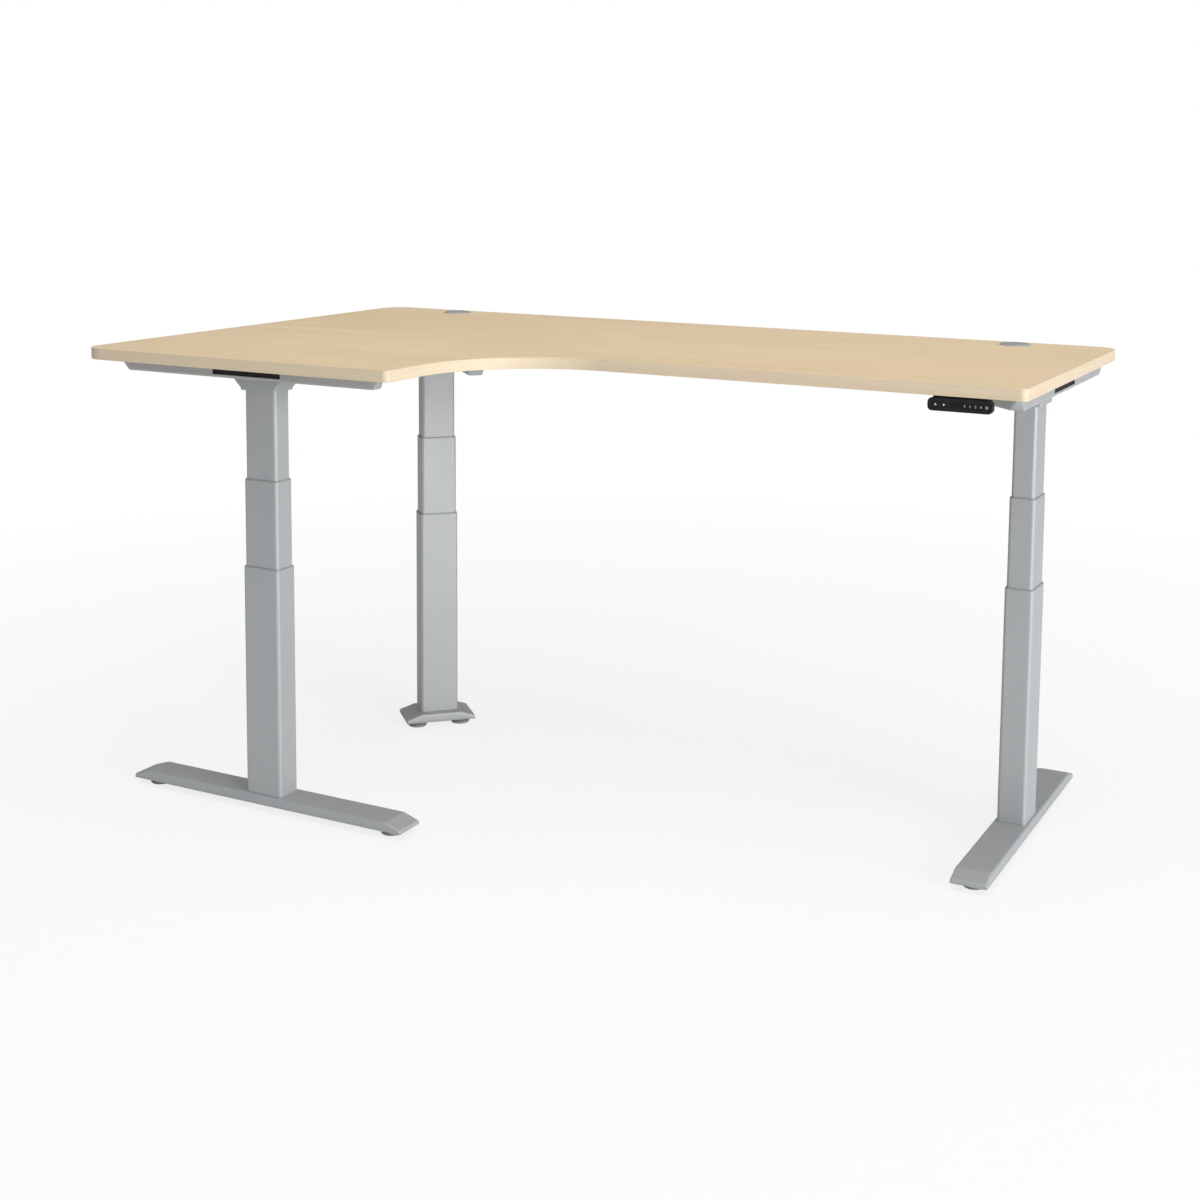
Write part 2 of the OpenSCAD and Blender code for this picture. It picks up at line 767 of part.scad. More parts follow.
// The box body is open at the top, towards the desktop, where its lid closes it.
module control_box() color(black)
    translate([BOX_AT[0], BOX_AT[1], top_under_z - box_h])
        difference() {
            translate([-box_l / 2, -box_w / 2, 0]) cube([box_l, box_w, box_h - lid_t]);
            translate([box_wall - box_l / 2, box_wall - box_w / 2, box_wall])
                cube([box_l - 2 * box_wall, box_w - 2 * box_wall, box_h]);
            translate([box_l / 2 - box_wall - 1, -14, 7]) cube([box_wall + 2, 28, 20]);
            for (y = [-36, 22, 36])
                translate([-box_l / 2 - 1, y - 5, 9]) cube([box_wall + 2, 10, 9]);
        }

// A flat lid with two ears that are screwed to the desktop.
module control_box_lid() color(black)
    translate([BOX_AT[0], BOX_AT[1], top_under_z - lid_t])
        difference() {
            union() {
                translate([-box_l / 2, -box_w / 2, 0]) cube([box_l, box_w, lid_t]);
                for (s = [-1, 1]) translate([s * (box_l / 2 + 8) - 10, -12, 0]) cube([20, 24, lid_t]);
            }
            for (s = [-1, 1]) translate([s * (box_l / 2 + 10), 0, -1]) cylinder(r = 2.5, h = lid_t + 2);
        }

module circuit_board() color("#2d6b45")
    translate([BOX_AT[0], BOX_AT[1], top_under_z - box_h + box_wall]) {
        for (x = [-110, 85], y = [-40, 40]) translate([x, y, 0]) cylinder(r = 3, h = 5 + EPS);
        translate([-120, -46, 5]) cube([215, 92, 1.6]);
        translate([-60, -30, 6.6 - EPS]) cube([46, 40, 22]);
        for (x = [10, 32, 54]) translate([x, 15, 6.6 - EPS]) cylinder(r = 8, h = 18);
    }

// A mains inlet with three pins in an open pocket.
module power_inlet() color(black)
    translate([BOX_AT[0] + box_l / 2, BOX_AT[1], top_under_z - box_h + 17]) {
        difference() {
            union() {
                translate([-20, -13.8, -9.8]) cube([21, 27.6, 19.6]);
                translate([0, -17, -12]) cube([2.5, 34, 24]);
            }
            translate([-16, -12, -8]) cube([20, 24, 16]);
        }
        for (p = [[-7, -2], [0, 3], [7, -2]])
            translate([-17, p[0] - 1, p[1] - 2]) cube([15, 2, 4]);
    }

// ---- Keypad ----

// Front outline of the keypad, with rounded ends.
module keypad_outline(inset) {
    polygon(round_rect(keypad_l - 2 * inset, keypad_h - 2 * inset, keypad_r - inset, 8));
}

// Puts its children behind the keypad's front face: X across, Y up, Z towards the user.
module on_keypad(back) {
    translate([keypad_x, keypad_face_y + back, keypad_mid_z]) rotate([90, 0, 0]) children();
}

module button_holes(gap, depth) {
    for (b = BUTTONS)
        translate([b[0], 0, 0])
            linear_extrude(depth) polygon(round_rect(b[1] + 2 * gap, b[2] + 2 * gap, button_r + gap));
}

// The case is a shell behind the fascia, with a mounting plate on top.
module keypad_case() color(black) {
    on_keypad(keypad_depth)
        difference() {
            linear_extrude(keypad_depth - fascia_t) keypad_outline(0);
            translate([0, 0, keypad_wall]) linear_extrude(keypad_depth) keypad_outline(keypad_wall);
        }
    translate([keypad_x - plate_l / 2, keypad_face_y + keypad_depth - plate_lap, top_under_z - plate_t])
        cube([plate_l, plate_w, plate_t]);
}

module keypad_fascia() color(black)
    on_keypad(fascia_t)
        difference() {
            linear_extrude(fascia_t) keypad_outline(0);
            translate([0, 0, -1]) button_holes(fit_gap, fascia_t + 2);
        }

// A button cap with a wider foot behind the fascia, which stops it coming out.
module button(i) {
    b = BUTTONS[i];
    on_keypad(fascia_t) translate([b[0], 0, 0]) {
        translate([0, 0, -1.5])
            linear_extrude(fascia_t + 1.5 + button_proud) polygon(round_rect(b[1], b[2], button_r));
        translate([0, 0, -EPS - button_foot_t])
            linear_extrude(button_foot_t) polygon(round_rect(b[1] + 1, b[2] + 1.6, button_r));
    }
}

module up_button() color(black) button(0);
module down_button() color(black) button(1);
module preset_1_button() color(black) button(2);
module preset_2_button() color(black) button(3);
module preset_3_button() color(black) button(4);
module preset_4_button() color(black) button(5);
module memory_button() color(black) button(6);

left_foot();
right_foot();
corner_foot();
left_outer_column();
right_outer_column();
corner_outer_column();
column_bolts();
outer_guides();
nut_posts();
left_foot_wall_glide();
left_foot_user_glide();
right_foot_back_glide();
right_foot_front_glide();
corner_foot_back_glide();
corner_foot_front_glide();
left_middle_column();
right_middle_column();
corner_middle_column();
left_middle_guide();
right_middle_guide();
corner_middle_guide();
left_spindle_carrier();
right_spindle_carrier();
corner_spindle_carrier();
left_hollow_spindle();
right_hollow_spindle();
corner_hollow_spindle();
left_drive_spindle();
right_drive_spindle();
corner_drive_spindle();
left_inner_column();
right_inner_column();
corner_inner_column();
column_heads();
gear_motors();
left_end_bracket();
right_end_bracket();
corner_bracket();
slot_inserts();
main_rails();
return_rails();
frame_screws();
desktop();
edge_band();
grommet_rings();
left_grommet_cap();
right_grommet_cap();
control_box();
control_box_lid();
circuit_board();
power_inlet();
keypad_case();
keypad_fascia();
up_button();
down_button();
preset_1_button();
preset_2_button();
preset_3_button();
preset_4_button();
memory_button();
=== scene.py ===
"""The visible surfaces, finishes, light and camera of a height adjustable corner desk."""

import logging
from collections.abc import Sequence
from dataclasses import dataclass, field
from enum import Enum, IntEnum

import bmesh
import bpy
import numpy as np
from mathutils import Matrix, Vector
from mathutils.geometry import tessellate_polygon


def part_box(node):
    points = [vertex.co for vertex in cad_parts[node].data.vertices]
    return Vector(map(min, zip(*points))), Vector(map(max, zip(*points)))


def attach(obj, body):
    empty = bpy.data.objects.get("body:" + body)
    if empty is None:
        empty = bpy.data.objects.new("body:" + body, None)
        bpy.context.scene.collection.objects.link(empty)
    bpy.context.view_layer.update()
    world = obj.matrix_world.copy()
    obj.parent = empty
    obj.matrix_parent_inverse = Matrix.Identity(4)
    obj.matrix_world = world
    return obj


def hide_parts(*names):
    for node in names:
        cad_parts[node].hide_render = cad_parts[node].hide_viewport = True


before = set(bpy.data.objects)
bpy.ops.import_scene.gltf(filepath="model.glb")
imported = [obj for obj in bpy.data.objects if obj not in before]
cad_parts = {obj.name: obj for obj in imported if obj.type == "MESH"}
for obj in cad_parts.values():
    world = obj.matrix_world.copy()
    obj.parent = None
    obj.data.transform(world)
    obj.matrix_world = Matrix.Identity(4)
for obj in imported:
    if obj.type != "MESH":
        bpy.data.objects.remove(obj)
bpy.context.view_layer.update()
MM = 0.001
SHARP = np.radians(40)
WHITE = (1.0, 1.0, 1.0, 1.0)
LOG = logging.getLogger("desk")

Colour = tuple[float, float, float]


class Slot(Enum):
    """The record's material slots."""

    STEEL_PAINTED = "steel_painted"
    STEEL_BARE = "steel_bare"
    STEEL_ZINC = "steel_zinc"
    PLASTIC_GREY = "plastic_grey"
    PLASTIC_BLACK = "plastic_black"
    BOARD = "board"
    LAMINATE = "laminate"
    BAND = "band"


class Shared(Enum):
    """The shader groups that the finishes share."""

    EDGE_WEAR = "edge_wear"
    HANDLING = "handling"
    STIPPLE = "stipple"


class Stage(IntEnum):
    """The tubes of a telescopic column, from the outside in."""

    OUTER = 0
    MIDDLE = 1
    INNER = 2


class Mark(Enum):
    """What is printed on a key."""

    UP = "up"
    DOWN = "down"
    STORE = "store"
    ONE = "1"
    TWO = "2"
    THREE = "3"
    FOUR = "4"


# ---- Places and heights in the frame ----


def heights(node: str) -> tuple[float, float]:
    """Returns the lowest and the highest z of a CAD node."""
    low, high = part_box(node)
    return low.z, high.z


def upright(node: str) -> Matrix:
    """Returns the placement of a CAD node's vertical middle line, at the floor's height."""
    low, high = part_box(node)
    return Matrix.Translation(((low.x + high.x) / 2, (low.y + high.y) / 2, 0))


def grommet_centre(side: str) -> tuple[float, float]:
    """Returns the axis of the left or right cable grommet.

    The cap's slot cuts its rim at +Y, so Y comes from the cap's low corner and its width.
    """
    low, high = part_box(f"{side}_grommet_cap")
    return (low.x + high.x) / 2, low.y + (high.x - low.x) / 2


@dataclass(frozen=True)
class Leg:
    """One leg, and how its long side is turned from X, in degrees."""

    name: str
    turn: float

    @property
    def placement(self) -> Matrix:
        """The leg's own axes, about its spindle."""
        return upright(f"{self.name}_drive_spindle") @ Matrix.Rotation(np.radians(self.turn), 4, "Z")


LEGS = (Leg("left", 0.0), Leg("right", 90.0), Leg("corner", 45.0))


# ---- Outlines and profiles ----


@dataclass(frozen=True)
class Loop:
    """A closed outline in a plane, anticlockwise, with the outward normal at each point."""

    points: np.ndarray
    normals: np.ndarray

    def inset(self, distance: float) -> np.ndarray:
        """Returns the outline moved inwards by distance along its normals."""
        return self.points - distance * self.normals

    def at(self, x: float, y: float) -> "Loop":
        """Returns the loop moved by x, y."""
        return Loop(self.points + np.array([x, y]), self.normals)


def arc(centre: Sequence[float], radius: float, start: float, stop: float, steps: int) -> Loop:
    """Points on a circle: centre plus radius times (cos a, sin a).

    Args:
        centre: The circle's centre.
        radius: Its radius.
        start: First angle in degrees.
        stop: Last angle in degrees. Below start, the arc is the hollow side of a corner.
        steps: Number of equal steps.

    Returns:
        The open run of points, whose normals point away from the centre, or towards it when stop
        is below start.
    """
    angle = np.radians(np.linspace(start, stop, steps + 1))
    out = np.stack([np.cos(angle), np.sin(angle)], axis=1)
    return Loop(np.asarray(centre) + radius * out, out if stop > start else -out)


def join(runs: Sequence[Loop]) -> Loop:
    """Returns one loop made of runs, in order."""
    return Loop(np.concatenate([r.points for r in runs]), np.concatenate([r.normals for r in runs]))


def rounded_rectangle(length: float, width: float, radius: float, steps: int = 8) -> Loop:
    """A rectangle about the origin, with a quarter circle at each corner.

    Args:
        length: Size along X.
        width: Size along Y.
        radius: Corner radius.
        steps: Steps in each quarter circle.

    Returns:
        The closed loop.
    """
    quarters = ((1, 1, 0), (-1, 1, 90), (-1, -1, 180), (1, -1, 270))
    reach = (length / 2 - radius, width / 2 - radius)
    return join([arc((sx * reach[0], sy * reach[1]), radius, a, a + 90, steps) for sx, sy, a in quarters])


def circle(radius: float, steps: int = 64) -> Loop:
    """Returns a full circle about the origin."""
    angle = np.arange(steps) * 2 * np.pi / steps
    out = np.stack([np.cos(angle), np.sin(angle)], axis=1)
    return Loop(radius * out, out)


def level(points: np.ndarray, height: float) -> np.ndarray:
    """Returns flat points lifted to a height."""
    return np.column_stack([points, np.full(len(points), height)])


def layers(points: np.ndarray, *levels: float) -> np.ndarray:
    """Returns the same flat points at several heights, as the rows of a grid."""
    return np.stack([level(points, z) for z in levels])


def fillet(corners: Sequence[tuple[float, float, float]], closed: bool = True, steps: int = 4) -> np.ndarray:
    """A polygon or polyline with rounded corners.

    Each corner is replaced by a circular arc that touches both of its sides: the centre lies on the
    bisector, radius / sin(half the corner's angle) away from the corner.

    Args:
        corners: (a, b, radius) for each corner.
        closed: Whether the last corner joins the first.
        steps: Steps in each arc.

    Returns:
        The points, one row each.
    """
    raw = np.array([c[:2] for c in corners], float)
    count = len(raw)
    out = []
    for i, (_, _, radius) in enumerate(corners):
        ends = not closed and i in (0, count - 1)
        if radius <= 0 or ends:
            out.append(raw[i : i + 1])
            continue
        before, after = raw[i - 1] - raw[i], raw[(i + 1) % count] - raw[i]
        before, after = before / np.linalg.norm(before), after / np.linalg.norm(after)
        half = np.arccos(np.clip(before @ after, -1, 1)) / 2
        centre = raw[i] + (before + after) / np.linalg.norm(before + after) * radius / np.sin(half)
        foot = radius / np.tan(half)
        first, last = raw[i] + before * foot - centre, raw[i] + after * foot - centre
        share = np.linspace(0, 1, steps + 1)[:, None]
        swing = np.arccos(np.clip(first @ last / radius**2, -1, 1))
        blend = np.sin((1 - share) * swing) * first + np.sin(share * swing) * last
        out.append(centre + blend / np.sin(swing))
    return np.concatenate(out)


def edge_profile(inset: float, low: float, high: float, arris: float, steps: int = 4) -> np.ndarray:
    """A plate's edge from its lower face to its upper one, with both edges rounded.

    Args:
        inset: How far inside the outline it stands.
        low: Height of the lower face.
        high: Height of the upper face.
        arris: Radius of the two edges.
        steps: Steps in each rounding.

    Returns:
        Rows of (inset, height).
    """
    deep = inset + 3 * arris
    corners = [(deep, low, 0), (inset, low, arris), (inset, high, arris), (deep, high, 0)]
    return fillet(corners, False, steps)[1:-1]


# ---- Meshes ----


@dataclass
class Surface:
    """Vertices and faces gathered for one piece, in the piece's own axes."""

    vertices: list[np.ndarray] = field(default_factory=list)
    faces: list[np.ndarray] = field(default_factory=list)
    count: int = 0

    def add(self, points: np.ndarray, *blocks: np.ndarray) -> None:
        """Adds points, and blocks of faces that index them, one face in each row."""
        self.vertices.append(points.reshape(-1, 3))
        self.faces.extend(block + self.count for block in blocks)
        self.count += len(self.vertices[-1])

    def grid(
        self, points: np.ndarray, closed_rows: bool = False, closed_columns: bool = True,
        skip: np.ndarray | None = None,
    ) -> None:
        """Adds a surface given on a grid, one quad between each four neighbours.

        Args:
            points: Array of rows, columns and xyz.
            closed_rows: Whether the last row joins the first.
            closed_columns: Whether the last column joins the first.
            skip: Boolean array of quads to leave open.
        """
        rows, columns = points.shape[:2]
        i = np.arange(rows if closed_rows else rows - 1)[:, None]
        j = np.arange(columns if closed_columns else columns - 1)[None, :]
        ni, nj = (i + 1) % rows, (j + 1) % columns
        quads = np.stack([i * columns + j, i * columns + nj, ni * columns + nj, ni * columns + j], axis=-1)
        if skip is not None:
            quads = quads[~skip]
        self.add(points, quads.reshape(-1, 4))

    def sweep(self, loop: Loop, profile: np.ndarray, closed: bool = True) -> None:
        """Carries a profile round a loop: a profile point (d, z) lies d inside the loop at height z.

        Args:
            loop: The outline followed.
            profile: Rows of (inset, height).
            closed: Whether the profile closes on itself.
        """
        flat = loop.points[None] - profile[:, :1, None] * loop.normals[None]
        height = np.broadcast_to(profile[:, 1, None, None], flat.shape[:2] + (1,))
        self.grid(np.concatenate([flat, height], axis=2), closed_rows=closed)

    def revolve(self, profile: np.ndarray, closed: bool = True, steps: int = 64, ripple: float = 0.0) -> None:
        """Turns a profile of (radius, height) about the Z axis.

        A ripple adds ripple * cos(30 a) to the radius at angle a, on the profile's outermost rows.

        Args:
            profile: Rows of (radius, height).
            closed: Whether the profile closes on itself.
            steps: Steps round the axis.
            ripple: Depth of the grip ribs.
        """
        angle = (np.arange(steps) * 2 * np.pi / steps)[None, :]
        radius = np.broadcast_to(profile[:, :1], (len(profile), steps)).copy()
        outermost = profile[:, :1] > profile[:, 0].max() * 0.995
        radius += ripple * np.cos(30 * angle) * outermost
        height = np.broadcast_to(profile[:, 1:], radius.shape)
        self.grid(np.stack([radius * np.cos(angle), radius * np.sin(angle), height], axis=2), closed)

    def cap(self, outline: np.ndarray, height: float, holes: Sequence[np.ndarray] = ()) -> None:
        """Adds a flat face at a height, with holes."""
        rings = [outline, *holes]
        loops = [[Vector((*p, 0.0)) for p in ring] for ring in rings]
        self.add(level(np.concatenate(rings), height), np.array(tessellate_polygon(loops)))

    def plate(
        self, loop: Loop, low: float, high: float, arris: float,
        holes: Sequence[Loop] = (), steps: int = 3,
    ) -> None:
        """Adds a solid plate with rounded edges, outside and round its holes.

        Args:
            loop: The outline.
            low: Height of the lower face.
            high: Height of the upper face.
            arris: Radius of the edges.
            holes: Loops of the holes through it.
            steps: Steps in each rounded edge.
        """
        profile = edge_profile(0, low, high, arris, steps)
        self.sweep(loop, profile, closed=False)
        outward = profile * np.array([-1, 1])
        for hole in holes:
            self.sweep(hole, outward, closed=False)
        for z in (low, high):
            self.cap(loop.inset(arris), z, [h.inset(-arris) for h in holes])

    def prism(self, outline: np.ndarray, low: float, high: float) -> None:
        """Adds an outline carried straight up from low to high, closed at both ends."""
        self.grid(layers(outline, low, high))
        self.cap(outline, low)
        self.cap(outline, high)

    def moved(self, placement: Matrix) -> "Surface":
        """Returns the surface with its points put in place."""
        matrix = np.array(placement)
        points = [v @ matrix[:3, :3].T + matrix[:3, 3] for v in self.vertices]
        return Surface(points, list(self.faces), self.count)

    def extend(self, other: "Surface") -> None:
        """Adds another surface's points and faces."""
        self.add(np.concatenate(other.vertices), *other.faces)

    def object(
        self, name: str, finish: bpy.types.Material, open_side: Vector | None = None
    ) -> bpy.types.Object:
        """Makes an object, with merged seams, faces outwards and edges sharper than SHARP kept crisp.

        Args:
            name: The object's name.
            finish: Its material.
            open_side: The side that an open skin is open to, which tells its inside from its outside.

        Returns:
            The object, which sits at the origin.
        """
        mesh = bpy.data.meshes.new(name)
        faces = [face for block in self.faces for face in block.tolist()]
        mesh.from_pydata(np.concatenate(self.vertices).tolist(), [], faces)
        work = bmesh.new()
        work.from_mesh(mesh)
        bmesh.ops.remove_doubles(work, verts=work.verts, dist=1e-6)
        bmesh.ops.dissolve_degenerate(work, dist=1e-7, edges=work.edges)
        bmesh.ops.recalc_face_normals(work, faces=work.faces)
        if open_side is not None:
            far = max(work.faces, key=lambda f: -f.calc_center_median().dot(open_side))
            if far.normal.dot(open_side) > 0:
                bmesh.ops.reverse_faces(work, faces=work.faces)
        work.to_mesh(mesh)
        work.free()
        mesh.polygons.foreach_set("use_smooth", np.ones(len(mesh.polygons), bool))
        mesh.set_sharp_from_angle(angle=SHARP)
        mesh.materials.append(finish)
        made = bpy.data.objects.new(name, mesh)
        bpy.context.scene.collection.objects.link(made)
        return made


@dataclass
class Piece:
    """One finished object: its surface, and what it stands for and rides on."""

    name: str
    surface: Surface
    finish: bpy.types.Material
    body: str
    slot: Slot
    replaces: tuple[str, ...] = ()
    sheet: float = 0.0
    open_side: Vector | None = None

    def build(self) -> None:
        """Makes the object at the origin, parents it to its body's empty and hides the CAD nodes that it
        replaces.
        """
        piece = self.surface.object(self.name, self.finish, self.open_side)
        if self.sheet:
            wall = piece.modifiers.new("sheet", "SOLIDIFY")
            wall.thickness = self.sheet
            wall.offset = -1
            wall.use_even_offset = True
        piece.modifiers.new("face_weights", "WEIGHTED_NORMAL").keep_sharp = True
        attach(piece, self.body)
        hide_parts(*self.replaces)
        LOG.info("%s: %d faces on %s", self.name, len(piece.data.polygons), self.body)


def dress_node(node: str, finish: bpy.types.Material, arris: float = 0.4 * MM) -> None:
    """Gives a CAD node its finish and softened edges.

    Args:
        node: The node's name.
        finish: Its material.
        arris: Radius of its edges, or 0 to leave them.
    """
    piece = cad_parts[node]
    piece.data.materials.clear()
    piece.data.materials.append(finish)
    if arris:
        piece.modifiers.new("weld", "WELD").merge_threshold = 1e-5
        edge = piece.modifiers.new("arris", "BEVEL")
        edge.width = arris
        edge.segments = 2
        edge.limit_method = "ANGLE"
        edge.angle_limit = SHARP
        edge.use_clamp_overlap = True
        edge.harden_normals = True
    LOG.info("%s: kept, %s", node, finish.name)


# ---- Shader building ----


class Graph:
    """Adds nodes and links to one node tree."""

    def __init__(self, tree: bpy.types.NodeTree) -> None:
        """Keeps the tree and empties it."""
        self.tree = tree
        tree.nodes.clear()

    def node(self, kind: str, inputs: dict | None = None, **settings: object) -> bpy.types.Node:
        """Adds a node.

        Args:
            kind: Blender's node type, without its ShaderNode prefix.
            inputs: Values or sockets for its inputs, by name or index.
            **settings: Properties of the node.

        Returns:
            The node.
        """
        prefix = "" if kind.startswith("Node") else "ShaderNode"
        made = self.tree.nodes.new(prefix + kind)
        for key, value in settings.items():
            setattr(made, key, value)
        self.feed(made, inputs or {})
        return made

    def feed(self, target: bpy.types.Node, inputs: dict) -> None:
        """Links a socket to, or sets a value on, each of the target's named inputs."""
        for key, value in inputs.items():
            if isinstance(value, bpy.types.NodeSocket):
                self.tree.links.new(value, target.inputs[key])
            else:
                target.inputs[key].default_value = value

    def place(self, scale: Sequence[float] = (1, 1, 1)) -> bpy.types.NodeSocket:
        """Returns object coordinates scaled along each axis."""
        source = self.node("TexCoord").outputs["Object"]
        return self.node("Mapping", {"Vector": source, "Scale": scale}).outputs[0]

    def noise(
        self, vector: bpy.types.NodeSocket, scale: object, detail: float = 3.0, rough: float = 0.55,
        distortion: float = 0.0,
    ) -> bpy.types.NodeSocket:
        """Returns a noise value between 0 and 1.

        Args:
            vector: Where to read it.
            scale: How fine it is: a number or a socket.
            detail: Number of octaves.
            rough: Weight of the finer octaves.
            distortion: How much it is warped.

        Returns:
            The value's socket.
        """
        inputs = {"Vector": vector, "Scale": scale, "Detail": detail, "Roughness": rough}
        return self.node("TexNoise", inputs | {"Distortion": distortion}).outputs[0]

    def ramp(
        self, value: bpy.types.NodeSocket, low: float, high: float, to_low: float = 0.0, to_high: float = 1.0
    ) -> bpy.types.NodeSocket:
        """Returns value carried from the range low..high to to_low..to_high, and clamped."""
        inputs = {"Value": value, "From Min": low, "From Max": high, "To Min": to_low, "To Max": to_high}
        return self.node("MapRange", inputs).outputs[0]

    def math(self, operation: str, a: object, b: object) -> bpy.types.NodeSocket:
        """Returns the result of one operation on two values."""
        return self.node("Math", {0: a, 1: b}, operation=operation).outputs[0]

    def times(self, a: object, b: object) -> bpy.types.NodeSocket:
        """Returns a times b."""
        return self.math("MULTIPLY", a, b)

    def plus(self, a: object, b: object) -> bpy.types.NodeSocket:
        """Returns a plus b."""
        return self.math("ADD", a, b)

    def mix(self, share: object, a: object, b: object) -> bpy.types.NodeSocket:
        """Returns colour a mixed with colour b by share. Each is a Colour or a socket."""
        # """Gives each of these nodes its finish, and each but the circuit board softened edges."""
        first, second = (rgba(c) if isinstance(c, tuple) else c for c in (a, b))
        return self.node("Mix", {0: share, 6: first, 7: second}, data_type="RGBA").outputs[2]

    def bump(self, height: bpy.types.NodeSocket, strength: float, distance: float) -> bpy.types.NodeSocket:
        """Returns a normal bumped by height, with the bump's depth in metres."""
        inputs = {"Height": height, "Strength": strength, "Distance": distance}
        return self.node("Bump", inputs).outputs[0]


def rgba(colour: Colour) -> tuple[float, float, float, float]:
    """Returns a colour with full alpha."""
    return (*colour, 1.0)


def shader_group(
    name: str, inputs: dict[str, float], outputs: Sequence[str]
) -> tuple[Graph, dict[str, bpy.types.NodeSocket], bpy.types.Node]:
    """Starts a shader node group with float sockets.

    Args:
        name: The group's name.
        inputs: Its inputs with their defaults.
        outputs: Its outputs' names.

    Returns:
        The group's graph, its input sockets by name, and its output node.
    """
    tree = bpy.data.node_groups.new(name, "ShaderNodeTree")
    graph = Graph(tree)
    for label, default in inputs.items():
        socket = tree.interface.new_socket(label, in_out="INPUT", socket_type="NodeSocketFloat")
        socket.default_value = default
    for label in outputs:
        tree.interface.new_socket(label, in_out="OUTPUT", socket_type="NodeSocketFloat")
    start = graph.node("NodeGroupInput")
    end = graph.node("NodeGroupOutput")
    return graph, {k: start.outputs[k] for k in inputs}, end


def edge_wear_group() -> bpy.types.NodeTree:
    """Builds the mask of rubbed edges: one minus the cosine between the true normal and a rounded one.

    Returns:
        The group, with inputs Radius and Gain and the output Mask.
    """
    graph, given, result = shader_group(Shared.EDGE_WEAR.value, {"Radius": 0.0015, "Gain": 6.0}, ["Mask"])
    rounded = graph.node("Bevel", {"Radius": given["Radius"]}, samples=4).outputs[0]
    true = graph.node("NewGeometry").outputs["Normal"]
    cosine = graph.node("VectorMath", {0: rounded, 1: true}, operation="DOT_PRODUCT").outputs["Value"]
    edge = graph.times(graph.math("SUBTRACT", 1.0, cosine), given["Gain"])
    patches = graph.ramp(graph.noise(graph.place(), 55.0, 4.0, 0.7), 0.35, 0.75)
    graph.feed(result, {"Mask": graph.node("Clamp", {0: graph.times(edge, patches)}).outputs[0]})
    return graph.tree


def handling_group() -> bpy.types.NodeTree:
    """Builds the cloudiness that dust and hands leave: broad patches with finer ones in them.

    Returns:
        The group, with the input Size and the output Mask.
    """
    graph, given, result = shader_group(Shared.HANDLING.value, {"Size": 4.0}, ["Mask"])
    where = graph.place()
    broad = graph.noise(where, given["Size"], 4.0, 0.6, 0.6)
    fine = graph.noise(where, 60.0, 3.0, 0.6)
    both = graph.plus(graph.times(broad, 0.75), graph.times(fine, 0.25))
    graph.feed(result, {"Mask": graph.ramp(both, 0.35, 0.68)})
    return graph.tree


def stipple_group() -> bpy.types.NodeTree:
    """Builds a fine moulded or sprayed texture: rounded grains on a slight waviness.

    Returns:
        The group, with the input Grain, in grains per metre, and the outputs Height and Speck.
    """
    graph, given, result = shader_group(Shared.STIPPLE.value, {"Grain": 900.0}, ["Height", "Speck"])
    where = graph.place()
    peel = graph.noise(where, given["Grain"], 2.0, 0.45)
    wave = graph.noise(where, graph.times(given["Grain"], 0.16), 1.0, 0.4)
    speck = graph.noise(where, graph.times(given["Grain"], 2.4), 1.0, 0.5)
    waviness = graph.plus(peel, graph.times(wave, 0.5))
    graph.feed(result, {"Height": waviness, "Speck": graph.ramp(speck, 0.42, 0.62)})
    return graph.tree


GROUP_MAKERS = {
    Shared.EDGE_WEAR: edge_wear_group,
    Shared.HANDLING: handling_group,
    Shared.STIPPLE: stipple_group,
}
GROUPS: dict[Shared, bpy.types.NodeTree] = {}


def use_group(graph: Graph, shared: Shared, **values: float) -> bpy.types.Node:
    """Places a shared group in a material, and builds the group the first time.

    Args:
        graph: The material's graph.
        shared: Which group.
        **values: The group's inputs.

    Returns:
        The group's node.
    """
    if shared not in GROUPS:
        GROUPS[shared] = GROUP_MAKERS[shared]()
    placed = graph.node("Group", node_tree=GROUPS[shared])
    graph.feed(placed, values)
    return placed


def new_material(name: str, colour: Colour) -> tuple[bpy.types.Material, Graph, bpy.types.Node]:
    """Starts a material.

    Args:
        name: Its name.
        colour: Its colour in a plain viewport.

    Returns:
        The material, its graph and its Principled BSDF, joined to the output.
    """
    made = bpy.data.materials.new(name)
    made.use_nodes = True
    made.diffuse_color = rgba(colour)
    graph = Graph(made.node_tree)
    shader = graph.node("BsdfPrincipled")
    graph.node("OutputMaterial", {"Surface": shader.outputs[0]})
    return made, graph, shader


# ---- Finishes ----


def dimmed(colour: Colour, share: float) -> Colour:
    """Returns a colour at a share of its brightness."""
    return tuple(share * c for c in colour)


@dataclass(frozen=True)
class PowderCoat:
    """Silver powder coat: fine orange peel, metallic flecks and slightly rubbed edges."""

    name: str = "silver_powder_coat"
    base: Colour = (0.405, 0.425, 0.44)
    fleck: Colour = (0.50, 0.52, 0.535)
    worn: Colour = (0.56, 0.57, 0.58)
    roughness: float = 0.46
    metallic: float = 0.25
    grain: float = 1500.0
    depth: float = 0.12 * MM

    def material(self) -> bpy.types.Material:
        """Returns the node material."""
        made, graph, shader = new_material(self.name, self.base)
        stipple = use_group(graph, Shared.STIPPLE, Grain=self.grain)
        wear = use_group(graph, Shared.EDGE_WEAR, Radius=1.2 * MM, Gain=3.0).outputs[0]
        haze = use_group(graph, Shared.HANDLING, Size=5.0).outputs[0]
        flecked = graph.mix(graph.times(stipple.outputs["Speck"], 0.45), self.base, self.fleck)
        tone = graph.mix(graph.times(haze, 0.12), flecked, dimmed(self.base, 0.86))
        graph.feed(shader, {
            "Base Color": graph.mix(graph.times(wear, 0.5), tone, self.worn),
            "Roughness": graph.ramp(haze, 0.0, 1.0, self.roughness - 0.05, self.roughness + 0.08),
            "Normal": graph.bump(stipple.outputs["Height"], 0.35, self.depth),
            "Metallic": self.metallic,
        })
        return made


